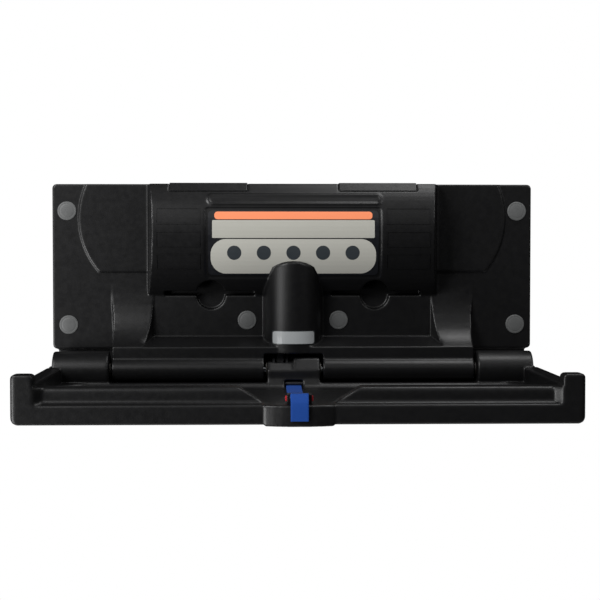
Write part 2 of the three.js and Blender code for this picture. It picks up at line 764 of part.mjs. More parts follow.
function gasBracket() {
  const back = PLATE + FIT;
  const base = block(
    GAS_X - BRACKET_HALF, GAS_X + BRACKET_HALF, back, back + BRACKET,
    eyeZ - BRACKET_HIGH, eyeZ + BRACKET_HIGH,
  );
  const cheeks = SIDES.map((side) => block(
    ...span(side, CHEEK_HALF - BRACKET, CHEEK_HALF).map((x) => x + GAS_X), back, BRACKET_REACH,
    eyeZ - EYE_R, eyeZ + EYE_R,
  ));
  const bore = barX(CRANK_PIN_R + FIT, GAS_X - PAST, GAS_X + PAST, GAS_OUT, eyeZ);
  const eyeSide = EYE_HALF + FIT;
  const eyeRoom = barX(EYE_R + FIT, GAS_X - eyeSide, GAS_X + eyeSide, GAS_OUT, eyeZ);
  return cut(join([base, ...cheeks]), [bore, eyeRoom]);
}

const crankOut = HINGE_OUT - CRANK_R * Math.SQRT1_2;
const crankZ = CRANK_R * Math.SQRT1_2;
const yokeLow = crankZ - CRANK_PIN_R - CRANK_PLAY - YOKE_WALL;
const yokeHigh = crankZ + CRANK_PIN_R + CRANK_PLAY + YOKE_TOP;

function gasRod() {
  const top = PISTON_Z + PISTON;
  const start = yokeHigh - YOKE_CAP + FIT;
  const profile = [
    [0, start], [GAS_ROD_R, start], [GAS_ROD_R, PISTON_Z], [GAS_BORE - FIT, PISTON_Z],
    [GAS_BORE - FIT, top], [0, top],
  ];
  return solid(lathed(profile, ROUND).rotateX(Math.PI / 2).translate(GAS_X, -GAS_OUT, 0));
}

// The yoke's slot lets the crank pin swing fore and aft while the rod moves straight.
function rodYoke() {
  const room = CRANK_PIN_R + FIT;
  const near = HINGE_OUT - CRANK_R - room;
  const far = crankOut + room;
  const body = block(
    GAS_X - YOKE_HALF, GAS_X + YOKE_HALF, near - YOKE_WALL, far + YOKE_WALL, yokeLow, yokeHigh,
  );
  const high = CRANK_PIN_R + CRANK_PLAY;
  const slot = block(GAS_X - PAST, GAS_X + PAST, near, far, crankZ - high, crankZ + high);
  const socket = barZ(GAS_ROD_R + FIT, yokeHigh - YOKE_CAP, yokeHigh + PAST, GAS_X, GAS_OUT);
  return cut(body, [slot, socket]);
}

// Bed pieces below are measured from the hinge axis.
const rimBack = REACH - LEDGE - RIM;
const heelBack = HINGE_OUT - SKIRT_OUT - FIT;
const heelHalf = barrelEnd - KNUCKLE_GAP;
const knuckleNear = barrelEnd + KNUCKLE_GAP;

function bedOutline(inset) {
  const half = bedHalf - inset;
  const front = REACH - inset;
  const back = -KNUCKLE_R + inset;
  const corner = BED_CORNER;
  const heel = -heelBack + inset;
  const shape = new THREE.Shape();
  shape.moveTo(-half, back);
  shape.lineTo(-heelHalf + inset, back);
  shape.lineTo(-heelHalf + inset, heel);
  shape.lineTo(heelHalf - inset, heel);
  shape.lineTo(heelHalf - inset, back);
  shape.lineTo(half, back);
  shape.lineTo(half, front - corner);
  shape.absarc(half - corner, front - corner, corner, 0, Math.PI / 2);
  shape.lineTo(-half + corner, front);
  shape.absarc(-half + corner, front - corner, corner, Math.PI / 2, Math.PI);
  return shape;
}

// Seen from the front, the bed's lower corners are rounded.
function bedFront() {
  const outline = roundedRect(-bedHalf, BED_LOW, bedHalf, PAST + BED_EDGE, BED_EDGE);
  return alongY(outline, -PAST, REACH + PAST);
}

function basin(grow) {
  const half = bedHalf - END_WALL - FLOOR_ROUND + grow;
  const plan = roundedRect(
    -half, FLOOR_BACK + FLOOR_ROUND - grow, half, rimBack - FLOOR_ROUND + grow, FLOOR_CORNER,
  );
  return alongZ(plan, FLOOR_Z - grow, PAST, FLOOR_ROUND);
}

function trough(grow) {
  const low = LEDGE_Z - grow;
  const outline = polygon([
    [-TROUGH_LOW - grow, low], [TROUGH_LOW + grow, low], [TROUGH_HIGH + grow, RIM_Z],
    [TROUGH_HIGH + grow, PAST], [-TROUGH_HIGH - grow, PAST], [-TROUGH_HIGH - grow, RIM_Z],
  ]);
  return alongY(outline, rimBack - FLOOR_ROUND, REACH + PAST);
}

function horn(side) {
  const inner = bedHalf - HORN_WIDE;
  const [left, right] = span(side, inner, bedHalf);
  const front = roundedRect(left, LEDGE_Z - 2 * HORN_ROUND, right, HORN_Z, HORN_ROUND);
  const post = alongY(front, REACH - HORN_DEEP, REACH);
  const flare = polygon([
    [side * inner, REACH], [side * inner, REACH - HORN_DEEP],
    [side * (inner - HORN_FLARE), REACH - HORN_DEEP], [side * (inner - HORN_FLARE), REACH - LEDGE],
  ]);
  return post.add(alongZ(flare, LEDGE_Z - OVERCUT, RIM_Z));
}

// The rim has a rounded front edge and a hollow fillet at its foot.
function rimOutline() {
  const front = REACH - LEDGE;
  const shape = new THREE.Shape();
  shape.moveTo(rimBack, LEDGE_Z - OVERCUT);
  shape.lineTo(front + RIM_FOOT, LEDGE_Z - OVERCUT);
  shape.lineTo(front + RIM_FOOT, LEDGE_Z);
  shape.quadraticCurveTo(front, LEDGE_Z, front, LEDGE_Z + RIM_FOOT);
  shape.lineTo(front, RIM_Z - RIM_ROUND);
  shape.quadraticCurveTo(front, RIM_Z, front - RIM_ROUND, RIM_Z);
  shape.lineTo(rimBack, RIM_Z);
  return shape;
}

function handlePlan(half, back, sideFront, crown) {
  const shape = new THREE.Shape();
  shape.moveTo(-half, back);
  shape.lineTo(-half, sideFront);
  shape.quadraticCurveTo(0, 2 * crown - sideFront, half, sideFront);
  shape.lineTo(half, back);
  return shape;
}

const gripGuard = block(
  -HANDLE_HALF, HANDLE_HALF, REACH - GRIP_DEEP - SKIN, REACH + PAST, BED_LOW - PAST, LEDGE_Z,
);

function handleGrip() {
  const plan = handlePlan(
    HANDLE_HALF - HANDLE_WALL, REACH - GRIP_DEEP, REACH + HANDLE_SIDE - HANDLE_WALL,
    REACH + HANDLE_OUT - HANDLE_WALL,
  );
  return alongZ(plan, BED_LOW - PAST, LEDGE_Z - SKIN);
}

// The middle knuckle stands lower on the left, where the gas spring's rod comes down.
function middleKnuckle() {
  const outline = (high) => polygon([
    [-MIDDLE_BACK, BED_LOW + PAN + 2 * FIT], [-MIDDLE_BACK, high - MIDDLE_CHAMFER],
    [-MIDDLE_BACK + MIDDLE_CHAMFER, high], [MIDDLE_FRONT - MIDDLE_BROW, high], [MIDDLE_FRONT, 0],
    [MIDDLE_FRONT, -MIDDLE_BROW], [MIDDLE_TOE, FLOOR_Z], [MIDDLE_TOE, BED_LOW + PAN + 2 * FIT],
  ]);
  const right = alongX(outline(MIDDLE_HIGH), 0, MIDDLE_HALF);
  const left = alongX(outline(MIDDLE_HIGH - MIDDLE_STEP), -MIDDLE_HALF, 0);
  const crankRoom = block(CRANK_SLOT_LEFT, CRANK_SLOT_RIGHT, -PAST, MIDDLE_WALL, CRANK_ROOM_LOW, PAST);
  return left.add(right).subtract(crankRoom);
}

const bossInset = SKIN + SCREW_BOSS_R - OVERCUT;
const bedScrews = SIDES.flatMap((side) => [
  [side * BED_SCREW_X, REACH - bossInset],
  [side * (bedHalf - bossInset), BED_SCREW_SIDE],
  [side * BED_SCREW_X, BED_SCREW_BACK],
]);

function bedTray() {
  const outline = alongZ(bedOutline(0), BED_LOW, PAST);
  const slab = alongZ(bedOutline(0), BED_LOW, LEDGE_Z);
  const rim = alongX(rimOutline(), -bedHalf, bedHalf);
  const ends = SIDES.map((side) => (
    block(...span(side, bedHalf - END_WALL, bedHalf), -KNUCKLE_R, REACH - LEDGE, LEDGE_Z - OVERCUT, RIM_Z)
  ));
  const body = cut(join([slab, rim, ...ends]), [basin(0), trough(0)]);
  const posts = SIDES.map((side) => horn(side).intersect(outline));
  const handle = alongZ(
    handlePlan(HANDLE_HALF, REACH - SKIN, REACH + HANDLE_SIDE, REACH + HANDLE_OUT),
    BED_LOW - HANDLE_DROP, LEDGE_Z,
  );
  const barrelRoom = BARREL_R + BARREL_PLAY;
  const barrelCut = (grow) => barX(
    barrelRoom + grow, -barrelEnd - KNUCKLE_GAP / 2 - grow, barrelEnd + KNUCKLE_GAP / 2 + grow, 0, 0,
    BIG_ROUND,
  );
  const knuckles = SIDES.map((side) => (
    barX(KNUCKLE_R, ...span(side, knuckleNear, knuckleFar), 0, 0, BIG_ROUND)
  ));
  const middle = middleKnuckle();
  const solidZones = [
    basin(SKIN), barrelCut(SKIN), gripGuard, ...knuckles,
    block(-MIDDLE_HALF, MIDDLE_HALF, -MIDDLE_BACK, MIDDLE_TOE, BED_LOW + PAN + 2 * FIT, PAST),
  ];
  const under = LEDGE_Z - SKIN;
  const roof = RIM_Z - SKIN;
  const front = REACH - LEDGE - SKIN;
  const hollows = cut(join([
    alongZ(bedOutline(SKIN), BED_LOW - OVERCUT, under),
    block(-bedHalf + SKIN, bedHalf - SKIN, rimBack + SKIN, front, under - OVERCUT, roof),
    ...SIDES.map((side) => block(
      ...span(side, bedHalf - END_WALL + SKIN, bedHalf - SKIN), 0, front, under - OVERCUT, roof,
    )),
  ]), [trough(SKIN), ...solidZones]);
  const rounded = join([body, ...posts]).intersect(bedFront());
  const shell = cut(rounded.add(handle), [barrelCut(0), hollows]);
  const bosses = bedScrews.map(([x, out]) => (
    barZ(SCREW_BOSS_R, BED_LOW + PAN + FIT, LEDGE_Z - OVERCUT, x, out, SMALL_ROUND)
  ));
  const anchorHole = MOUTH_HALF + ANCHOR_INTO + FIT;
  const bushIn = MIDDLE_HALF - BUSH_SHORT - FIT;
  const retainerIn = knuckleFar - ROD_SHORT - RETAINER - RETAINER_PLAY;
  const holes = [
    handleGrip(),
    block(-MOUTH_HALF, MOUTH_HALF, MOUTH_BACK, MOUTH_OUT, FLOOR_Z, MOUTH_TOP),
    barX(ANCHOR_R + FIT, -anchorHole, anchorHole, ANCHOR_REACH, ANCHOR_Z),
    barX(ROD_R + FIT, -bedHalf, bedHalf, 0, 0),
    ...SIDES.map((side) => barX(BUSH_R + FIT, ...span(side, 0, knuckleNear + BUSH_LONG + FIT), 0, 0)
      .subtract(barX(BUSH_R + OVERCUT, -bushIn, bushIn, 0, 0))),
    ...SIDES.map((side) => (
      barX(RETAINER_R + RETAINER_PLAY, ...span(side, retainerIn, bedHalf + PAST), 0, 0)
    )),
    ...bedScrews.map(([x, out]) => screwFromBelow(FIT, x, out)),
  ];
  return cut(join([shell, middle, ...knuckles, ...bosses]), holes);
}

function bedUnderside() {
  const sheet = alongZ(bedOutline(SKIN + FIT), BED_LOW, BED_LOW + PAN).intersect(bedFront());
  const room = block(
    -HANDLE_HALF - FIT, HANDLE_HALF + FIT, REACH - GRIP_DEEP - SKIN - FIT, REACH + PAST,
    BED_LOW - OVERCUT, LEDGE_Z,
  );
  const sinks = bedScrews.map(([x, out]) => barZ(
    SCREW_HEAD_R + FIT, BED_LOW - OVERCUT, BED_LOW + SCREW_SINK, x, out, SMALL_ROUND,
  ));
  return cut(sheet, [room, ...bedScrews.map(([x, out]) => screwFromBelow(FIT, x, out)), ...sinks]);
}

function stiffener(side) {
  const low = BED_LOW + PAN + FIT;
  const [from, to] = span(side, STIFFENER_X, STIFFENER_X + STIFFENER_WIDE);
  return block(from, to, 0, REACH - STIFFENER_SET, low, low + STIFFENER);
}

// A bush points from its flange at x = 0 towards +X.
function bush(length) {
  const sleeve = barX(BUSH_R, -FIT - BUSH_FLANGE, length, 0, 0);
  const flange = barX(BUSH_FLANGE_R, -FIT - BUSH_FLANGE, -FIT, 0, 0);
  return sleeve.add(flange).subtract(barX(ROD_R + FIT, -PAST, PAST, 0, 0));
}

function crankPlate(left) {
  const back = CRANK_R * Math.SQRT1_2;
  const eye = CRANK_PIN_R + CRANK_EDGE;
  const hub = barX(CRANK_HUB_R, left, left + CRANK_PLATE, 0, 0);
  const end = barX(eye, left, left + CRANK_PLATE, -back, back);
  const side = eye * Math.SQRT1_2;
  const web = alongX(polygon([
    [-side, -side], [-back - side, back - side], [-back + side, back + side], [side, side],
  ]), left, left + CRANK_PLATE);
  const bores = [
    barX(ROD_R + FIT, -bedHalf, bedHalf, 0, 0), barX(CRANK_PIN_R + FIT, -bedHalf, bedHalf, -back, back),
  ];
  return cut(join([hub, end, web]), bores);
}

function crankPin() {
  const back = CRANK_R * Math.SQRT1_2;
  return barX(CRANK_PIN_R, CRANK_SLOT_LEFT + FIT, CRANK_SLOT_RIGHT - FIT, -back, back);
}

// Buckle on the floor of the trough: a frame, a fixed grip bar and a red button at each side.
const buckleLow = LEDGE_Z + FIT;
const buckleBack = REACH - BUCKLE_SET;
const buckleFront = buckleBack + BUCKLE_LONG;
const buttonZ = buckleLow + BUCKLE_HIGH / 2;
const buttonLow = buttonZ - BUTTON_HIGH / 2;
const buttonHigh = buttonZ + BUTTON_HIGH / 2;
const buttonNear = buckleBack + BUTTON_BACK;
const buttonFar = buttonNear + BUTTON_LONG;
const windowIn = BUCKLE_HALF - BUTTON_WINDOW;
const flangeOut = windowIn - FIT;
const gripBarReach = buckleFront - GRIP_BAR_SET;
const gripBarZ = buckleLow + GRIP_BAR_RISE;

function buckleFrame() {
  const high = buckleLow + BUCKLE_HIGH;
  const base = block(
    -BUCKLE_HALF, BUCKLE_HALF, buckleBack, buckleFront, buckleLow, buckleLow + BUCKLE_BASE,
  );
  const cheeks = SIDES.map((side) => block(
    ...span(side, BUCKLE_INSIDE, BUCKLE_HALF), buckleBack, buckleFront, buckleLow, high,
  ));
  const top = block(
    -BUCKLE_HALF, BUCKLE_HALF, buckleBack, buckleBack + BUCKLE_TOP_LONG, high - BUCKLE_TOP, high,
  );
  const windows = SIDES.map((side) => block(
    ...span(side, BUCKLE_INSIDE - OVERCUT, BUCKLE_HALF + OVERCUT), buttonNear - FIT, buttonFar + FIT,
    buttonLow - FIT, buttonHigh + FIT,
  ));
  const rooms = SIDES.map((side) => block(
    ...span(side, BUCKLE_INSIDE - OVERCUT, windowIn), buttonNear - BUTTON_LIP - FIT,
    buttonFar + BUTTON_LIP + FIT, buttonLow - FIT, buttonHigh + FIT,
  ));
  const barEnd = BUCKLE_INSIDE + GRIP_BAR_INTO + FIT;
  const barHole = barX(GRIP_BAR_R + FIT, -barEnd, barEnd, gripBarReach, gripBarZ, SMALL_ROUND);
  return cut(join([base, ...cheeks, top]), [...windows, ...rooms, barHole]);
}

function gripBar() {
  const end = BUCKLE_INSIDE + GRIP_BAR_INTO;
  return barX(GRIP_BAR_R, -end, end, gripBarReach, gripBarZ, SMALL_ROUND);
}

function button(side) {
  const inner = flangeOut - BUTTON_FLANGE;
  const stem = block(
    ...span(side, inner, BUCKLE_HALF + BUTTON_OUT), buttonNear, buttonFar, buttonLow, buttonHigh,
  );
  const flange = block(
    ...span(side, inner, flangeOut), buttonNear - BUTTON_LIP, buttonFar + BUTTON_LIP, buttonLow, buttonHigh,
  );
  return stem.add(flange);
}

// The strap runs from its anchor pin over the floor, under the grip bar, and hangs over the handle.
function safetyStrap() {
  const lift = STRAP / 2 + STRAP_GAP;
  const turn = ANCHOR_R + lift;
  const floor = FLOOR_Z + lift;
  const floorNear = FLOOR_BACK + 2 * FLOOR_ROUND;
  const floorFar = rimBack - 2 * FLOOR_ROUND;
  const inside = buckleLow + BUCKLE_BASE + lift + STRAP_GAP;
  const wrap = GRIP_BAR_R + lift + STRAP_GAP;
  const barFront = gripBarReach + wrap;
  const hang = REACH + HANDLE_OUT + lift + TAIL_OUT;
  const fold = buckleLow + BUCKLE_HIGH + lift;
  const route = [
    [ANCHOR_REACH - turn, ANCHOR_Z],
    [ANCHOR_REACH - turn * Math.SQRT1_2, ANCHOR_Z - turn * Math.SQRT1_2],
    [ANCHOR_REACH, ANCHOR_Z - turn],
    [floorNear - STRAP_EASE, floor],
    [floorNear, floor],
    [floorFar, floor],
    [floorFar + STRAP_EASE, floor],
    [rimBack - STRAP_RISE, inside - STRAP_GAP],
    [buckleBack + lift, inside],
    [gripBarReach - GRIP_BAR_R - lift, inside],
    [gripBarReach, gripBarZ - wrap],
    [gripBarReach + wrap * Math.SQRT1_2, gripBarZ - wrap * Math.SQRT1_2],
    [gripBarReach + wrap, gripBarZ],
    [barFront + lift, fold - lift],
    [barFront + STRAP_FOLD, fold],
    [hang - lift, LEDGE_Z + STRAP_FOLD],
    [hang, LEDGE_Z],
    [hang, TAIL_LOW],
  ].map(([out, z]) => new THREE.Vector3(out, z, 0));
  const curve = new THREE.CatmullRomCurve3(route, false, 'centripetal');
  const upper = [];
  const lower = [];
  for (let i = 0; i <= STRAP_STEPS; i += 1) {
    const at = curve.getPoint(i / STRAP_STEPS);
    const run = curve.getTangent(i / STRAP_STEPS);
    upper.push([at.x - run.y * STRAP / 2, at.y + run.x * STRAP / 2]);
    lower.push([at.x + run.y * STRAP / 2, at.y - run.x * STRAP / 2]);
  }
  return alongX(polygon([...upper, ...lower.reverse()]), -STRAP_HALF, STRAP_HALF);
}

// Assembly
const station = new THREE.Group();

const panel = new THREE.Group();
station.add(panel);
addPiece(panel, 'panel_shell', panelShell(), BLACK_PLASTIC);
addPiece(panel, 'wall_plate', wallPlate(), STEEL);
addPiece(panel, 'info_label', infoLabel(), LABEL_FILM);
addPiece(panel, 'name_plate', namePlate(), LABEL_FILM);
wallHoles.forEach(([x, z], i) => {
  addPiece(panel, `hole_cap_${i + 1}`, holeCap(), GREY_PLASTIC).position.set(x, -PANEL_OUT, z);
});
plateScrews.forEach(([x, z], i) => {
  addPiece(panel, `plate_screw_${i + 1}`, screwFromWall(0, 0, 0), STEEL).position.set(x, 0, z);
});
const rodEnd = knuckleFar - ROD_SHORT;
addPiece(panel, 'hinge_rod', barX(ROD_R, -rodEnd, rodEnd, HINGE_OUT, 0), STEEL);
SIDES.forEach((side) => {
  const [from] = span(side, rodEnd - RETAINER, rodEnd);
  addPiece(panel, `rod_retainer_${sideName(side)}`, retainer(), STEEL).position.set(from, -HINGE_OUT, 0);
  addPiece(panel, `lid_pin_${sideName(side)}`, lidPin(side), STEEL);
  addPiece(panel, `dispenser_lid_${sideName(side)}`, lid(side), BLACK_PLASTIC);
});

const gasSpring = new THREE.Group();
station.add(gasSpring);
addPiece(gasSpring, 'gas_cylinder', gasCylinder(), DARK_STEEL);
addPiece(gasSpring, 'gas_bracket', gasBracket(), STEEL);
const gasPinHalf = CHEEK_HALF + GAS_PIN_OUT;
const gasPin = barX(CRANK_PIN_R, GAS_X - gasPinHalf, GAS_X + gasPinHalf, GAS_OUT, eyeZ);
addPiece(gasSpring, 'gas_pin', gasPin, STEEL);
addPiece(gasSpring, 'gas_rod', gasRod(), STEEL);
addPiece(gasSpring, 'rod_yoke', rodYoke(), DARK_STEEL);

const bed = new THREE.Group();
bed.position.set(0, -HINGE_OUT, 0);
station.add(bed);
addPiece(bed, 'bed_tray', bedTray(), BLACK_PLASTIC);
addPiece(bed, 'bed_underside', bedUnderside(), BLACK_PLASTIC);
bedScrews.forEach(([x, out], i) => {
  addPiece(bed, `bed_screw_${i + 1}`, screwFromBelow(0, 0, 0), STEEL).position.set(x, -out, 0);
});
SIDES.forEach((side) => {
  const name = sideName(side);
  addPiece(bed, `bed_stiffener_${name}`, stiffener(side), STEEL);
  const end = addPiece(bed, `end_bush_${name}`, bush(BUSH_LONG), NYLON);
  end.position.x = side * knuckleNear;
  end.rotation.z = side < 0 ? Math.PI : 0;
  const middle = addPiece(bed, `middle_bush_${name}`, bush(BUSH_SHORT), NYLON);
  middle.position.x = side * MIDDLE_HALF;
  middle.rotation.z = side < 0 ? 0 : Math.PI;
  addPiece(bed, `buckle_button_${name}`, button(side), RED_PLASTIC);
});
addPiece(bed, 'crank_plate_left', crankPlate(CRANK_SLOT_LEFT + FIT), DARK_STEEL);
addPiece(bed, 'crank_plate_right', crankPlate(CRANK_SLOT_RIGHT - FIT - CRANK_PLATE), DARK_STEEL);
addPiece(bed, 'crank_pin', crankPin(), STEEL);
const anchorEnd = MOUTH_HALF + ANCHOR_INTO;
addPiece(bed, 'strap_anchor_pin', barX(ANCHOR_R, -anchorEnd, anchorEnd, ANCHOR_REACH, ANCHOR_Z), STEEL);
addPiece(bed, 'safety_strap', safetyStrap(), WEBBING);
addPiece(bed, 'buckle_frame', buckleFrame(), BLACK_PLASTIC);
addPiece(bed, 'buckle_grip_bar', gripBar(), STEEL);

export default station;
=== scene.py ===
"""Looks of a wall-mounted baby changing station, folded open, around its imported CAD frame.

Metres: +X right, +Y into the wall, +Z up, wall face at Y = 0, hinge axis at Z = 0.
"""
import logging
import math
from dataclasses import dataclass, field
from enum import Enum
from typing import Any, Iterable, Sequence

import bmesh
import bpy
from mathutils import Euler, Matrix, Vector


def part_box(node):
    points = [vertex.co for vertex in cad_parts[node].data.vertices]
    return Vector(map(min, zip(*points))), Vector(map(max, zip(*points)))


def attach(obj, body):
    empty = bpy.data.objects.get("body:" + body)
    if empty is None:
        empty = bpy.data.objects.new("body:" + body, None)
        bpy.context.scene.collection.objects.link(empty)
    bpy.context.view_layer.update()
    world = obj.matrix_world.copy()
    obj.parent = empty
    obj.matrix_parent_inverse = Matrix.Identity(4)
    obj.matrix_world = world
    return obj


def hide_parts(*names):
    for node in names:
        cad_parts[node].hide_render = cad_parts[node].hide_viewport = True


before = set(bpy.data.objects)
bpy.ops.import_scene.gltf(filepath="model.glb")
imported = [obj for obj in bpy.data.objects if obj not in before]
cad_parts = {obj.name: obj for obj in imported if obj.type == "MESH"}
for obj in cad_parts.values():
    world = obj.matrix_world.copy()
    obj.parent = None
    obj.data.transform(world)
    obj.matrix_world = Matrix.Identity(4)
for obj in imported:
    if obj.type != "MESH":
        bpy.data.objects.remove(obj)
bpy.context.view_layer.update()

LOG = logging.getLogger("changing_station")
MM = 0.001
WELD = MM / 100

# A noise value mostly lies between these two.
NOISE_LOW = 0.3
NOISE_HIGH = 0.7

# Sockets that a mix node uses for colours.
MIX_FACTOR, MIX_FIRST, MIX_SECOND, MIX_RESULT = 0, 6, 7, 2

Point = tuple[float, float]
Place = tuple[float, float, float]


class Body(Enum):
    """Rigid bodies that the new pieces ride on."""

    PANEL = "panel"
    BED = "bed"
    LID_LEFT = "lid_left"
    LID_RIGHT = "lid_right"
    BUTTON_LEFT = "button_left"
    BUTTON_RIGHT = "button_right"


class Slot(Enum):
    """Material slots of the record; each moulded part holds one, but nothing reads it."""

    POLYETHYLENE = "black_polyethylene"
    ACETAL = "black_acetal"
    CAP = "grey_plastic"
    RED = "red_plastic"
    WEBBING = "blue_webbing"


def linear(colour: str) -> tuple[float, float, float, float]:
    """Turn an sRGB hex colour into linear values.

    Args:
        colour: six hex digits after a hash.

    Returns:
        Linear red, green, blue and an alpha of one.
    """
    parts = [int(colour[i:i + 2], 16) / 255 for i in (1, 3, 5)]
    red, green, blue = (c / 12.92 if c <= 0.04045 else ((c + 0.055) / 1.055) ** 2.4 for c in parts)
    return red, green, blue, 1.0


def add_node(tree: bpy.types.NodeTree, kind: str, inputs: dict[Any, Any], **settings: Any) -> bpy.types.Node:
    """Add a node, set its settings, and set or link its inputs.

    Args:
        tree: node tree that gets the node.
        kind: Blender's type name.
        inputs: socket name or number to a value, or to an output socket to link from.
        settings: attributes of the node.

    Returns:
        The new node.
    """
    made = tree.nodes.new(kind)
    for name, value in settings.items():
        setattr(made, name, value)
    for socket, value in inputs.items():
        if isinstance(value, bpy.types.NodeSocket):
            tree.links.new(value, made.inputs[socket])
        else:
            made.inputs[socket].default_value = value
    return made


def new_material(name: str) -> tuple[bpy.types.Material, bpy.types.NodeTree, bpy.types.NodeSocket]:
    """Start a material.

    Args:
        name: the material's name.

    Returns:
        The material, its emptied tree, and the row-frame coordinates in metres.
    """
    material = bpy.data.materials.new(name)
    material.use_nodes = True
    tree = material.node_tree
    tree.nodes.clear()
    return material, tree, add_node(tree, "ShaderNodeTexCoord", {}).outputs["Object"]


def finish_surface(tree: bpy.types.NodeTree, inputs: dict[str, Any]) -> None:
    """Close a tree with a principled surface.

    Args:
        tree: the material's node tree.
        inputs: the shader's sockets and their values or links.
    """
    shader = add_node(tree, "ShaderNodeBsdfPrincipled", inputs)
    add_node(tree, "ShaderNodeOutputMaterial", {"Surface": shader.outputs[0]})


def noise(tree: bpy.types.NodeTree, place: bpy.types.NodeSocket, size_mm: float, detail: float = 3.0
          ) -> bpy.types.NodeSocket:
    """Add a noise whose patches are about a real size across.

    Args:
        tree: the material's node tree.
        place: coordinates in metres.
        size_mm: width of a patch.
        detail: octaves.

    Returns:
        The noise value.
    """
    settings = {"Vector": place, "Scale": 1 / (size_mm * MM), "Detail": detail}
    return add_node(tree, "ShaderNodeTexNoise", settings).outputs[0]


def between(tree: bpy.types.NodeTree, value: bpy.types.NodeSocket, low: float, high: float
            ) -> bpy.types.NodeSocket:
    """Map a noise value onto a range.

    Args:
        tree: the material's node tree.
        value: a value that mostly lies between the noise's usual ends.
        low: result at the low end.
        high: result at the high end.

    Returns:
        The mapped value.
    """
    ends = {"Value": value, "From Min": NOISE_LOW, "From Max": NOISE_HIGH, "To Min": low, "To Max": high}
    return add_node(tree, "ShaderNodeMapRange", ends).outputs[0]


def mixed(tree: bpy.types.NodeTree, factor: Any, first: Any, second: Any) -> bpy.types.NodeSocket:
    """Mix two colours.

    Args:
        tree: the material's node tree.
        factor: share of the second colour.
        first: a linear colour or a socket.
        second: a linear colour or a socket.

    Returns:
        The mixed colour.
    """
    inputs = {MIX_FACTOR: factor, MIX_FIRST: first, MIX_SECOND: second}
    return add_node(tree, "ShaderNodeMix", inputs, data_type="RGBA").outputs[MIX_RESULT]


def computed(tree: bpy.types.NodeTree, operation: str, first: Any, second: Any = 0.0) -> bpy.types.NodeSocket:
    """Work out one number from two.

    Args:
        tree: the material's node tree.
        operation: Blender's name of the sum.
        first: a number or a socket.
        second: a number or a socket.

    Returns:
        The result.
    """
    return add_node(tree, "ShaderNodeMath", {0: first, 1: second}, operation=operation).outputs[0]


@dataclass(frozen=True)
class MouldedPlastic:
    """A moulded plastic: satin skin, fine stipple from the mould, uneven sheen and faint scuffs."""

    name: str
    colour: str
    worn: str
    stipple_mm: float
    stipple_deep_mm: float
    sheen_low: float
    sheen_high: float
    ior: float
    specular: float = 0.5

    PATCH_MM = 120.0
    SCUFF_MM = 9.0
    SCUFF_DETAIL = 6.0
    STIPPLE_DETAIL = 2.0

    def make(self) -> bpy.types.Material:
        """Return the material."""
        material, tree, place = new_material(self.name)
        patches = noise(tree, place, self.PATCH_MM)
        scuffs = noise(tree, place, self.SCUFF_MM, self.SCUFF_DETAIL)
        colour = mixed(tree, between(tree, patches, 0.0, 1.0), linear(self.colour), linear(self.worn))
        sheen = between(tree, scuffs, self.sheen_low, self.sheen_high)
        stipple = noise(tree, place, self.stipple_mm, self.STIPPLE_DETAIL)
        bump = add_node(tree, "ShaderNodeBump", {
            "Height": stipple, "Distance": self.stipple_deep_mm * MM, "Strength": 1.0,
        })
        finish_surface(tree, {
            "Base Color": colour, "Roughness": sheen, "IOR": self.ior, "Normal": bump.outputs[0],
            "Specular IOR Level": self.specular,
        })
        return material


@dataclass(frozen=True)
class WorkedSteel:
    """A steel: bright metal with fine lines along its length or a cloudy plated skin."""

    name: str
    colour: str
    dull: str
    roughness: float
    line_mm: tuple[float, float, float]

    SPREAD = 0.12

    def make(self) -> bpy.types.Material:
        """Return the material."""
        material, tree, place = new_material(self.name)
        stretch = add_node(tree, "ShaderNodeMapping", {
            "Vector": place, "Scale": tuple(1 / (size * MM) for size in self.line_mm),
        })
        lines = add_node(tree, "ShaderNodeTexNoise", {"Vector": stretch.outputs[0], "Scale": 1.0}).outputs[0]
        colour = mixed(tree, between(tree, lines, 0.0, 1.0), linear(self.colour), linear(self.dull))
        rough = between(tree, lines, self.roughness - self.SPREAD, self.roughness + self.SPREAD)
        finish_surface(tree, {"Base Color": colour, "Roughness": rough, "Metallic": 1.0})
        return material


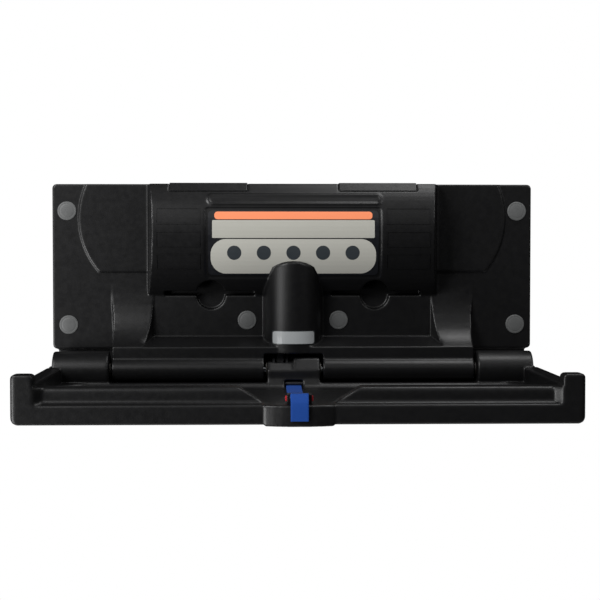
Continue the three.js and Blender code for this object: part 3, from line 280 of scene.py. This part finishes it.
@dataclass(frozen=True)
class WovenNylon:
    """Nylon webbing: ribs along the strap crossed by weft threads, matt with a faint sheen, and painted shade
    darkening the dips of the weave.
    """

    name: str
    colour: str
    painted_dip_shade: str
    rib_mm: float
    weft_mm: float
    deep_mm: float

    WEAVE_SWING = 0.25
    WEAVE_MIDDLE = 0.5
    FIBRE_SHARE = 0.4
    BUMP_STRENGTH = 0.8
    ROUGHNESS = 0.72
    SPECULAR = 0.15
    SHEEN = 0.05
    SHEEN_ROUGHNESS = 0.4

    def make(self) -> bpy.types.Material:
        """Return the material; the threads are drawn coarser than real ones so that they show."""
        material, tree, place = new_material(self.name)
        axes = add_node(tree, "ShaderNodeSeparateXYZ", {"Vector": place})
        along = computed(tree, "SUBTRACT", axes.outputs[1], axes.outputs[2])
        turn = 2 * math.pi / MM
        rib = computed(tree, "SINE", computed(tree, "MULTIPLY", axes.outputs[0], turn / self.rib_mm))
        weft = computed(tree, "SINE", computed(tree, "MULTIPLY", along, turn / self.weft_mm))
        crossed = computed(tree, "MULTIPLY", computed(tree, "MULTIPLY", rib, weft), self.WEAVE_SWING)
        weave = computed(tree, "ADD", crossed, self.WEAVE_MIDDLE)
        fibre = noise(tree, place, self.rib_mm)
        height = computed(tree, "ADD", weave, computed(tree, "MULTIPLY", fibre, self.FIBRE_SHARE))
        # Painted shade: the colour falls to the darker blue where the weave dips.
        colour = mixed(tree, weave, linear(self.painted_dip_shade), linear(self.colour))
        bump = add_node(tree, "ShaderNodeBump", {
            "Height": height, "Distance": self.deep_mm * MM, "Strength": self.BUMP_STRENGTH,
        })
        finish_surface(tree, {
            "Base Color": colour, "Roughness": self.ROUGHNESS, "Normal": bump.outputs[0],
            "Specular IOR Level": self.SPECULAR, "Sheen Weight": self.SHEEN,
            "Sheen Roughness": self.SHEEN_ROUGHNESS,
        })
        return material


@dataclass(frozen=True)
class Patch:
    """One printed area of a label, with round corners, in millimetres of the row frame."""

    left: float
    right: float
    low: float
    high: float
    colour: str
    corner: float


@dataclass(frozen=True)
class PrintedFilm:
    """A printed film under clear laminate: flat areas of ink, left without words or pictures."""

    name: str
    ground: str
    patches: tuple[Patch, ...]

    SMEAR_MM = 14.0
    ROUGH_LOW = 0.28
    ROUGH_HIGH = 0.42
    COAT = 0.15

    def mask(self, tree: bpy.types.NodeTree, axes: bpy.types.Node, patch: Patch) -> bpy.types.NodeSocket:
        """Make a mask of a round-cornered rectangle.

        Args:
            tree: the material's node tree.
            axes: the node that holds the separate coordinates.
            patch: the printed area.

        Returns:
            One inside the area and zero outside.
        """
        over: list[bpy.types.NodeSocket] = []
        for socket, low, high in ((0, patch.left, patch.right), (2, patch.low, patch.high)):
            middle = (low + high) / 2 * MM
            half = ((high - low) / 2 - patch.corner) * MM
            off = computed(tree, "ABSOLUTE", computed(tree, "SUBTRACT", axes.outputs[socket], middle))
            over.append(computed(tree, "MAXIMUM", computed(tree, "SUBTRACT", off, half), 0.0))
        squares = [computed(tree, "MULTIPLY", value, value) for value in over]
        away = computed(tree, "SQRT", computed(tree, "ADD", *squares))
        return computed(tree, "LESS_THAN", away, patch.corner * MM)

    def make(self) -> bpy.types.Material:
        """Return the material."""
        material, tree, place = new_material(self.name)
        axes = add_node(tree, "ShaderNodeSeparateXYZ", {"Vector": place})
        colour: Any = linear(self.ground)
        for patch in self.patches:
            colour = mixed(tree, self.mask(tree, axes, patch), colour, linear(patch.colour))
        rough = between(tree, noise(tree, place, self.SMEAR_MM), self.ROUGH_LOW, self.ROUGH_HIGH)
        finish_surface(tree, {"Base Color": colour, "Roughness": rough, "Coat Weight": self.COAT})
        return material


POLYETHYLENE = MouldedPlastic(
    "black polyethylene, rotationally moulded", "#0c0c0d", "#0f0f10", stipple_mm=2.4, stipple_deep_mm=0.06,
    sheen_low=0.35, sheen_high=0.41, ior=1.51, specular=0.36,
)
GRAINED_POLYETHYLENE = MouldedPlastic(
    "black polyethylene, moulded against a grained tool", "#0c0c0d", "#0f0f10", stipple_mm=2.6,
    stipple_deep_mm=0.16, sheen_low=0.36, sheen_high=0.43, ior=1.51, specular=0.36,
)
ACETAL = MouldedPlastic(
    "black acetal, injection moulded", "#0f0f10", "#17171a", stipple_mm=1.2, stipple_deep_mm=0.01,
    sheen_low=0.26, sheen_high=0.36, ior=1.48,
)
CAP_PLASTIC = MouldedPlastic(
    "grey polypropylene, injection moulded", "#4f5050", "#565757", stipple_mm=1.6, stipple_deep_mm=0.015,
    sheen_low=0.4, sheen_high=0.52, ior=1.49,
)
# Painted shade: the hinge bushes are made dark grey so that the gaps between the knuckles read dark.
NYLON_DARKENED_AS_SHADE = MouldedPlastic(
    "turned nylon, darkened as painted shade", "#3a3833", "#45423c", stipple_mm=1.0, stipple_deep_mm=0.01,
    sheen_low=0.4, sheen_high=0.5, ior=1.53,
)
RED_PLASTIC = MouldedPlastic(
    "red acetal, injection moulded", "#a81e28", "#b92a33", stipple_mm=1.2, stipple_deep_mm=0.01,
    sheen_low=0.28, sheen_high=0.4, ior=1.48,
)
# Black powder coat; the rod yoke, crank plates and strap anchor pin wear it as painted shade, darkening them
# in the bay under the column and the slot under the middle knuckle.
POWDER_COAT_AND_PAINTED_SHADE = MouldedPlastic(
    "black powder coat, also painted shade in dark hollows", "#1c1c1e", "#222224", stipple_mm=0.9, stipple_deep_mm=0.03,
    sheen_low=0.42, sheen_high=0.55, ior=1.5,
)
ZINC = WorkedSteel(
    "zinc plated sheet steel", "#a9adb0", "#8f9396", roughness=0.42, line_mm=(7.0, 7.0, 7.0),
)
TURNED = WorkedSteel(
    "turned and ground steel", "#b9bcbe", "#9da1a4", roughness=0.3, line_mm=(40.0, 0.8, 0.8),
)
# The second, darker blue is painted shade for the dips of the weave.
BLUE_WEBBING = WovenNylon(
    "blue nylon, woven webbing", "#1a4a9c", "#10306e", rib_mm=2.2, weft_mm=2.8, deep_mm=0.35,
)


def link(piece: bpy.types.Object) -> bpy.types.Object:
    """Put an object in the scene.

    Args:
        piece: the new object.

    Returns:
        The same object.
    """
    bpy.context.scene.collection.objects.link(piece)
    return piece


def settle(piece: bpy.types.Object, body: Body, nodes: Iterable[str], material: bpy.types.Material
           ) -> bpy.types.Object:
    """Give a new piece its material, its body and the nodes that it stands for.

    Args:
        piece: the piece, in place.
        body: what it rides on.
        nodes: CAD nodes that it replaces.
        material: its finish.

    Returns:
        The piece.
    """
    piece.data.materials.clear()
    piece.data.materials.append(material)
    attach(piece, body.value)
    replaced = list(nodes)
    if replaced:
        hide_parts(*replaced)
    LOG.info("%s on %s", piece.name, body.value)
    return piece


def mesh_piece(name: str, shape: bmesh.types.BMesh) -> bpy.types.Object:
    """Turn a shape into an object with outward faces.

    Args:
        name: the object's name.
        shape: its faces; it is freed.

    Returns:
        The new object.
    """
    bmesh.ops.recalc_face_normals(shape, faces=shape.faces)
    mesh = bpy.data.meshes.new(name)
    shape.to_mesh(mesh)
    shape.free()
    return link(bpy.data.objects.new(name, mesh))


def smooth_by_angle(mesh: bpy.types.Mesh, degrees: float) -> None:
    """Shade a mesh smoothly, with sharp edges where it turns more.

    Args:
        mesh: the mesh.
        degrees: largest turn that is smooth.
    """
    mesh.shade_smooth()
    mesh.set_sharp_from_angle(angle=math.radians(degrees))


@dataclass(frozen=True)
class Box:
    """A box of the row frame in millimetres."""

    low: Place
    high: Place

    def holds(self, point: Vector) -> bool:
        """Tell whether a point lies in the box.

        Args:
            point: the point in metres.

        Returns:
            Whether it does.
        """
        return all(a * MM <= c <= b * MM for a, c, b in zip(self.low, point, self.high))


@dataclass
class MouldedPart:
    """A moulded part: its solid with every corner rounded as a mould leaves it."""

    node: str
    body: Body
    slot: Slot
    voxel_mm: float
    passes: int
    kept: float
    ramps: tuple[Box, ...] = ()

    RAMP_PASSES = 60
    SOFTENING = 0.5

    def ease_ramps(self, mesh: bpy.types.Mesh) -> None:
        """Smooth away the facets of the curved ramps.

        Args:
            mesh: the rounded solid, in metres.
        """
        shape = bmesh.new()
        shape.from_mesh(mesh)
        eased = [v for v in shape.verts if any(ramp.holds(v.co) for ramp in self.ramps)]
        for _ in range(self.RAMP_PASSES):
            bmesh.ops.smooth_vert(
                shape, verts=eased, factor=self.SOFTENING, use_axis_x=False, use_axis_y=True, use_axis_z=True,
            )
        shape.to_mesh(mesh)
        shape.free()

    def build(self) -> bpy.types.Object:
        """Make the rounded copy of the solid and return it."""
        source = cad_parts[self.node]
        shape = bmesh.new()
        shape.from_mesh(source.data)
        bmesh.ops.remove_doubles(shape, verts=shape.verts, dist=WELD)
        rough = mesh_piece(f"{self.node}_solid", shape)
        remesh = rough.modifiers.new("voxels", "REMESH")
        remesh.mode = "VOXEL"
        remesh.voxel_size = self.voxel_mm * MM
        soften = rough.modifiers.new("soften", "SMOOTH")
        soften.factor = self.SOFTENING
        soften.iterations = self.passes
        graph = bpy.context.evaluated_depsgraph_get()
        fine = bpy.data.meshes.new_from_object(rough.evaluated_get(graph))
        rough.modifiers.clear()
        self.ease_ramps(fine)
        rough.data = fine
        thin = rough.modifiers.new("thin", "DECIMATE")
        thin.ratio = self.kept
        graph = bpy.context.evaluated_depsgraph_get()
        mesh = bpy.data.meshes.new_from_object(rough.evaluated_get(graph))
        mesh.shade_smooth()
        bpy.data.objects.remove(rough)
        return link(bpy.data.objects.new(f"{self.node}_moulded", mesh))

    def dress(self, material: bpy.types.Material) -> bpy.types.Object:
        """Build the part in its material.

        Args:
            material: the part's finish.

        Returns:
            The dressed piece.
        """
        return settle(self.build(), self.body, [self.node], material)


@dataclass
class ScrewCaps:
    """Round caps over the wall screws: a low dome with a rounded edge and a shallow ring."""

    count: int = 6
    radius_mm: float = 17.5
    crown_mm: float = 2.6
    edge_mm: float = 1.5
    ring_mm: float = 13.2
    ring_deep_mm: float = 0.35
    facets: int = 64

    EDGE_STEPS = 6
    DOME_STEPS = 16
    RING_SPREAD_MM = 0.8
    SMOOTH_DEGREES = 40.0

    def profile(self) -> list[Point]:
        """Return radius and height of the cap's face, from its back edge to its middle."""
        turn = [i * math.pi / 2 / self.EDGE_STEPS for i in range(self.EDGE_STEPS + 1)]
        edge = [(self.radius_mm - self.edge_mm * (1 - math.cos(a)), self.edge_mm * math.sin(a)) for a in turn]
        inner = edge[-1][0]
        dome = []
        for step in range(1, self.DOME_STEPS + 1):
            radius = inner * (1 - step / self.DOME_STEPS)
            rise = self.edge_mm + (self.crown_mm - self.edge_mm) * (1 - (radius / inner) ** 2)
            dip = self.ring_deep_mm * math.exp(-((radius - self.ring_mm) / self.RING_SPREAD_MM) ** 2)
            dome.append((radius, rise - dip))
        return [(self.radius_mm - self.edge_mm, 0.0), *edge, *dome]

    def build(self, node: str) -> bpy.types.Object:
        """Make one cap.

        Args:
            node: the CAD cap that it stands for.

        Returns:
            The new cap.
        """
        low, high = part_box(node)
        middle = (low + high) / 2
        back = low.y + self.crown_mm * MM
        shape = bmesh.new()
        verts = [shape.verts.new((r * MM, -h * MM, 0)) for r, h in self.profile()]
        for first, second in zip(verts, verts[1:]):
            shape.edges.new((first, second))
        bmesh.ops.spin(
            shape, geom=shape.verts[:] + shape.edges[:], cent=(0, 0, 0), axis=(0, 1, 0),
            angle=2 * math.pi, steps=self.facets, use_merge=True,
        )
        bmesh.ops.remove_doubles(shape, verts=shape.verts, dist=WELD)
        bmesh.ops.holes_fill(shape, edges=shape.edges)
        bmesh.ops.translate(shape, verts=shape.verts, vec=(middle.x, back, middle.z))
        piece = mesh_piece(f"{node}_domed", shape)
        smooth_by_angle(piece.data, self.SMOOTH_DEGREES)
        return piece

    def dress(self, material: bpy.types.Material) -> None:
        """Make every cap in its material.

        Args:
            material: the caps' finish.
        """
        for number in range(1, self.count + 1):
            node = f"hole_cap_{number}"
            settle(self.build(node), Body.PANEL, [node], material)


@dataclass
class SafetyStrap:
    """The strap: one length of webbing from its anchor over the floor, through the buckle and down."""

    half_mm: float = 14.0
    thick_mm: float = 1.5
    samples: int = 16
    hinge_mm: float = 60.0
    # Reach from the hinge axis and height, along the strap's middle.
    route: tuple[Point, ...] = (
        (16.7, -23.6), (17.96, -26.64), (21.0, -27.9), (58.0, -31.7), (63.0, -31.7), (316.0, -31.7),
        (321.0, -31.7), (349.0, -18.3), (365.3, -17.8), (382.9, -17.8), (386.4, -17.4), (389.2, -16.2),
        (390.4, -13.4), (391.7, -6.6), (396.4, -5.3), (404.8, -16.3), (406.1, -22.3), (406.1, -47.0),
    )

    # Knots that the points of each round of easing lie between.
    SPANS = (((0, 1), (1, 2), (2, 3)), ((0, 2), (1, 3)), ((1, 2),))
    EDGE_STEPS = 6
    HALF_STEPS = 4
    SMOOTH_DEGREES = 50.0

    def middle_line(self) -> list[Vector]:
        """Return points along the strap as reach and height, eased through the route."""
        points = [Vector(p) for p in self.route]
        points = [2 * points[0] - points[1], *points, 2 * points[-1] - points[-2]]
        line = []
        for a, b, c, d in zip(points, points[1:], points[2:], points[3:]):
            knots = [0.0]
            for first, second in ((a, b), (b, c), (c, d)):
                knots.append(knots[-1] + math.sqrt((second - first).length))
            for step in range(self.samples):
                line.append(self.eased((a, b, c, d), knots, step / self.samples))
        line.append(points[-2])
        return line

    def eased(self, points: Sequence[Vector], knots: Sequence[float], share: float) -> Vector:
        """Find a point between the middle two of four.

        Args:
            points: four points in order.
            knots: their places along the curve.
            share: from zero at the second point to one at the third.

        Returns:
            The point on the curve.
        """
        t = knots[1] + share * (knots[2] - knots[1])
        level = list(points)
        for spans in self.SPANS:
            level = [
                level[i].lerp(level[i + 1], (t - knots[start]) / (knots[end] - knots[start]))
                for i, (start, end) in enumerate(spans)
            ]
        return level[0]

    def section(self) -> list[Point]:
        """Return the webbing's cross section: flat faces and rounded edges."""
        half, thick = self.half_mm, self.thick_mm / 2
        turn = [math.pi * (i / self.EDGE_STEPS - 0.5) for i in range(self.EDGE_STEPS + 1)]
        right = [(half - thick + thick * math.cos(a), thick * math.sin(a)) for a in turn]
        across = [half * (1 - i / self.HALF_STEPS) for i in range(1, 2 * self.HALF_STEPS)]
        top = [(x, thick) for x in across]
        left = [(-x, -z) for x, z in right]
        under = [(-x, -thick) for x in across]
        return [*right, *top, *left, *under]

    def build(self) -> bpy.types.Object:
        """Make the strap and return it."""
        line = self.middle_line()
        shape = bmesh.new()
        rings = []
        for i, at in enumerate(line):
            run = (line[min(i + 1, len(line) - 1)] - line[max(i - 1, 0)]).normalized()
            side = Vector((-run.y, run.x))
            ring = []
            for x, lift in self.section():
                spot = at + side * lift
                ring.append(shape.verts.new((x * MM, -(self.hinge_mm + spot.x) * MM, spot.y * MM)))
            rings.append(ring)
        for first, second in zip(rings, rings[1:]):
            for i in range(len(first)):
                j = (i + 1) % len(first)
                shape.faces.new((first[i], first[j], second[j], second[i]))
        shape.faces.new(rings[0])
        shape.faces.new(rings[-1])
        piece = mesh_piece("safety_strap_webbing", shape)
        smooth_by_angle(piece.data, self.SMOOTH_DEGREES)
        return piece

    def dress(self, material: bpy.types.Material) -> None:
        """Make the strap in its material.

        Args:
            material: the webbing.
        """
        settle(self.build(), Body.BED, ["safety_strap"], material)


@dataclass
class RaisedFrames:
    """Thin raised frames moulded on the dispenser's front, left bare inside."""

    arc_back_mm: float = 74.0
    arc_z_mm: float = 250.0
    arc_r_mm: float = 150.0
    near_mm: float = 170.0
    far_mm: float = 250.0
    rows_mm: tuple[Point, ...] = ((266.0, 296.0), (224.0, 253.0), (184.0, 212.0))
    edge_mm: float = 1.6
    rise_mm: float = 0.9
    sink_mm: float = 0.6
    steps: int = 8

    def surface(self, x: float, z: float, rise: float) -> Vector:
        """Return a point on or above the dispenser's arc.

        Args:
            x: place along the hinge.
            z: height.
            rise: how far the point stands out.

        Returns:
            The point in metres.
        """
        out = math.sqrt(self.arc_r_mm ** 2 - (z - self.arc_z_mm) ** 2) - self.arc_back_mm + rise
        return Vector((x, -out, z)) * MM

    def outline(self, left: float, right: float, low: float, high: float) -> list[Point]:
        """List a rectangle's points, close enough together to follow the arc.

        Args:
            left: left edge.
            right: right edge.
            low: lower edge.
            high: upper edge.

        Returns:
            Places along the hinge and heights.
        """
        up = [low + (high - low) * i / self.steps for i in range(self.steps + 1)]
        return [*((left, z) for z in up), *((right, z) for z in reversed(up))]

    def add_frame(self, shape: bmesh.types.BMesh, left: float, right: float, low: float, high: float) -> None:
        """Add one frame to a shape.

        Args:
            shape: gets the frame.
            left: outer left edge.
            right: outer right edge.
            low: outer lower edge.
            high: outer upper edge.
        """
        edge, rise, sunk = self.edge_mm, self.rise_mm, -self.sink_mm
        outer = self.outline(left, right, low, high)
        inner = self.outline(left + edge, right - edge, low + edge, high - edge)
        loops = []
        for points, level in ((outer, sunk), (outer, rise), (inner, rise), (inner, sunk)):
            loops.append([shape.verts.new(self.surface(x, z, level)) for x, z in points])
        for first, second in zip(loops, [*loops[1:], loops[0]]):
            for i in range(len(first)):
                j = (i + 1) % len(first)
                shape.faces.new((first[i], first[j], second[j], second[i]))

    def dress(self, material: bpy.types.Material) -> None:
        """Make all the frames in one piece.

        Args:
            material: the panel's finish.
        """
        shape = bmesh.new()
        for low, high in self.rows_mm:
            self.add_frame(shape, self.near_mm, self.far_mm, low, high)
            self.add_frame(shape, -self.far_mm, -self.near_mm, low, high)
        settle(mesh_piece("dispenser_raised_frames", shape), Body.PANEL, [], material)


@dataclass
class FrameNodes:
    """CAD nodes that keep their own shape and get a finish."""

    nodes: Sequence[str]
    angle: float = 35.0

    def dress(self, material: bpy.types.Material) -> None:
        """Give each node the material.

        Args:
            material: the nodes' finish.
        """
        for name in self.nodes:
            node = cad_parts[name]
            node.data.materials.clear()
            node.data.materials.append(material)
            smooth_by_angle(node.data, self.angle)
            LOG.info("%s keeps its solid", name)


@dataclass(frozen=True)
class Lamp:
    """A square soft lamp: place and side in metres, power in watts."""

    name: str
    place: Place
    size: float
    power: float


@dataclass(frozen=True)
class Card:
    """A dark square card: place and side in metres."""

    name: str
    place: Place
    size: float


LAMPS = (
    Lamp("key_lamp", (-1.8, -2.0, 1.6), size=1.2, power=62.0),
    Lamp("low_lamp", (-2.0, -1.6, -0.5), size=1.0, power=42.0),
    Lamp("front_lamp", (0.0, -2.6, 1.8), size=1.2, power=3.0),
    Lamp("top_lamp", (0.6, -0.5, 2.0), size=0.8, power=15.0),
    Lamp("right_lamp", (1.5, -1.3, 1.3), size=0.6, power=8.0),
)
CARDS = (
    Card("front_card", (0.0, -5.0, 0.4), size=12.0),
    Card("right_card", (4.5, -1.0, 0.4), size=10.0),
    Card("left_card", (-4.5, -1.0, 0.4), size=10.0),
    Card("top_card", (0.0, -1.5, 4.0), size=10.0),
    Card("back_card", (0.0, 3.0, 2.0), size=8.0),
)


@dataclass
class Studio:
    """Floor, lamps, dark cards, white surround and camera."""

    floor_z: float = -1.0
    floor_radius: float = 1.2
    floor_facets: int = 96
    fill: float = 0.1
    white: float = 1.0
    eye: Vector = field(default_factory=lambda: Vector((-0.063, -2.624, 0.2135)))
    tilt_down: float = 1.92
    pan_right: float = 1.68
    focal_mm: float = 84.0
    sensor_mm: float = 36.0
    far: float = 50.0
    aim: Vector = field(default_factory=lambda: Vector((0.0, -0.2, 0.13)))

    def camera(self) -> None:
        """Set the camera at the photograph's viewpoint."""
        data = bpy.data.cameras.new("camera")
        data.lens = self.focal_mm
        data.sensor_width = self.sensor_mm
        data.clip_end = self.far
        camera = link(bpy.data.objects.new("camera", data))
        camera.location = self.eye
        camera.rotation_euler = Euler((math.radians(90 - self.tilt_down), 0, -math.radians(self.pan_right)))
        bpy.context.scene.camera = camera

    def turned(self, place: Place, axis: str) -> Euler:
        """Turn an axis towards the object.

        Args:
            place: where the lamp or card stands.
            axis: the axis that faces the object.

        Returns:
            The rotation.
        """
        return (self.aim - Vector(place)).to_track_quat(axis, "Y").to_euler()

    def lamp(self, spec: Lamp) -> None:
        """Add a lamp that points at the object.

        Args:
            spec: the lamp.
        """
        data = bpy.data.lights.new(spec.name, "AREA")
        data.size = spec.size
        data.energy = spec.power
        lamp = link(bpy.data.objects.new(spec.name, data))
        lamp.location = spec.place
        lamp.rotation_euler = self.turned(spec.place, "-Z")

    def card(self, spec: Card) -> None:
        """Add a dark card, out of the camera's sight, that keeps the white surround off the black plastic.

        Args:
            spec: the card.
        """
        shape = bmesh.new()
        bmesh.ops.create_grid(shape, x_segments=1, y_segments=1, size=spec.size / 2)
        card = mesh_piece(spec.name, shape)
        card.location = spec.place
        card.rotation_euler = self.turned(spec.place, "Z")
        card.visible_camera = False
        card.visible_diffuse = False
        card.visible_shadow = False
        material, tree, _ = new_material("black studio cloth")
        finish_surface(tree, {"Base Color": linear("#0a0a0a"), "Roughness": 1.0, "Specular IOR Level": 0.0})
        card.data.materials.append(material)

    def floor(self) -> None:
        """Add the plain pale floor."""
        shape = bmesh.new()
        bmesh.ops.create_circle(shape, cap_ends=True, segments=self.floor_facets, radius=self.floor_radius)
        floor = mesh_piece("floor", shape)
        floor.location.z = self.floor_z
        material, tree, _ = new_material("pale studio floor")
        finish_surface(tree, {"Base Color": linear("#f4f4f2"), "Roughness": 0.9})
        floor.data.materials.append(material)

    def surround(self) -> None:
        """Make the world white to the eye and in reflections, and a low fill for the rest."""
        world = bpy.data.worlds.new("white surround")
        bpy.context.scene.world = world
        world.use_nodes = True
        tree = world.node_tree
        tree.nodes.clear()
        path = add_node(tree, "ShaderNodeLightPath", {})
        seen = computed(tree, "MAXIMUM", path.outputs["Is Camera Ray"], path.outputs["Is Glossy Ray"])
        seen = computed(tree, "MAXIMUM", seen, path.outputs["Is Transmission Ray"])
        fill, white = (
            add_node(tree, "ShaderNodeBackground", {"Color": linear("#ffffff"), "Strength": strength})
            for strength in (self.fill, self.white)
        )
        both = add_node(tree, "ShaderNodeMixShader", {0: seen, 1: fill.outputs[0], 2: white.outputs[0]})
        add_node(tree, "ShaderNodeOutputWorld", {"Surface": both.outputs[0]})

    def build(self) -> None:
        """Set up the whole studio."""
        bpy.context.scene.view_settings.view_transform = "Standard"
        self.camera()
        self.floor()
        self.surround()
        for lamp in LAMPS:
            self.lamp(lamp)
        for card in CARDS:
            self.card(card)


# The plain discs on the label.
DISC_PLACES = (-108.0, -54.0, 0.0, 54.0, 108.0)
DISC_Z = 214.0
DISC_RADIUS = 13.0
DISC_CORNER = 12.9

# Label areas in millimetres, without words or pictures: header band, upper field, lower field, plain discs.
LABEL_AREAS = (
    Patch(-144.0, 144.0, 275.0, 289.0, "#ee8a5e", 6.0),
    Patch(-148.0, 148.0, 241.0, 273.5, "#a9a8a0", 2.0),
    Patch(-151.0, 151.0, 176.0, 239.0, "#b3b2aa", 28.0),
    *(
        Patch(
            x - DISC_RADIUS, x + DISC_RADIUS, DISC_Z - DISC_RADIUS, DISC_Z + DISC_RADIUS,
            "#33383c", DISC_CORNER,
        )
        for x in DISC_PLACES
    ),
)
PLATE_AREAS = (Patch(-38.0, 38.0, 48.0, 70.5, "#9fa2a3", 4.0),)

# Faces of the apron's two curved ramps, in front of the panel.
APRON_RAMPS = (
    Box((-326.0, -80.0, 46.0), (-270.0, -20.0, 150.0)), Box((270.0, -80.0, 46.0), (326.0, -20.0, 150.0)),
)

PANEL_SHELL = MouldedPart(
    "panel_shell", Body.PANEL, Slot.POLYETHYLENE, voxel_mm=1.7, passes=4, kept=0.3, ramps=APRON_RAMPS,
)
BED_TRAY = MouldedPart("bed_tray", Body.BED, Slot.POLYETHYLENE, voxel_mm=1.7, passes=14, kept=0.3)
LIDS = tuple(
    MouldedPart(node, body, Slot.POLYETHYLENE, voxel_mm=0.9, passes=3, kept=0.4)
    for node, body in (("dispenser_lid_left", Body.LID_LEFT), ("dispenser_lid_right", Body.LID_RIGHT))
)
BUCKLE_FRAME = MouldedPart("buckle_frame", Body.BED, Slot.ACETAL, voxel_mm=0.4, passes=4, kept=0.6)
BUTTONS = tuple(
    MouldedPart(node, body, Slot.RED, voxel_mm=0.3, passes=4, kept=0.6)
    for node, body in (("buckle_button_left", Body.BUTTON_LEFT), ("buckle_button_right", Body.BUTTON_RIGHT))
)
INFO_FILM = PrintedFilm("printed film, laminated", "#15161a", LABEL_AREAS)
PLATE_FILM = PrintedFilm("printed plate, lacquered", "#26282a", PLATE_AREAS)

# Nodes that keep their solids, by finish.
STEEL_PINS = (
    "hinge_rod", "rod_retainer_left", "rod_retainer_right", "lid_pin_left", "lid_pin_right", "gas_pin",
    "gas_rod", "crank_pin", "buckle_grip_bar",
)
STEEL_SHEETS = ("wall_plate", "bed_stiffener_left", "bed_stiffener_right", "gas_bracket")
SCREWS = tuple(f"{kind}_screw_{i}" for kind in ("plate", "bed") for i in range(1, 7))
# Black-coated parts; on the rod yoke, crank plates and strap anchor pin the black is painted shade for the
# dark bay and slot they sit in.
COATED_AND_SHADE_DARKENED = ("gas_cylinder", "rod_yoke", "crank_plate_left", "crank_plate_right", "strap_anchor_pin")
BUSHES = ("end_bush_left", "end_bush_right", "middle_bush_left", "middle_bush_right")


def main() -> None:
    """Build the studio, then the station's pieces in order."""
    logging.basicConfig(level=logging.INFO, format="%(message)s")
    Studio().build()
    black = POLYETHYLENE.make()
    grained = GRAINED_POLYETHYLENE.make()
    red = RED_PLASTIC.make()
    PANEL_SHELL.dress(black)
    BED_TRAY.dress(grained)
    for lid in LIDS:
        lid.dress(black)
    RaisedFrames().dress(black)
    BUCKLE_FRAME.dress(ACETAL.make())
    for button in BUTTONS:
        button.dress(red)
    ScrewCaps().dress(CAP_PLASTIC.make())
    SafetyStrap().dress(BLUE_WEBBING.make())
    FrameNodes(["bed_underside"]).dress(grained)
    FrameNodes(["info_label"]).dress(INFO_FILM.make())
    FrameNodes(["name_plate"]).dress(PLATE_FILM.make())
    FrameNodes(STEEL_PINS).dress(TURNED.make())
    FrameNodes([*STEEL_SHEETS, *SCREWS]).dress(ZINC.make())
    FrameNodes(COATED_AND_SHADE_DARKENED).dress(POWDER_COAT_AND_PAINTED_SHADE.make())
    # The bushes take the dark grey nylon as painted shade in the gaps between the knuckles.
    FrameNodes(BUSHES).dress(NYLON_DARKENED_AS_SHADE.make())


if __name__ == "__main__":
    main()
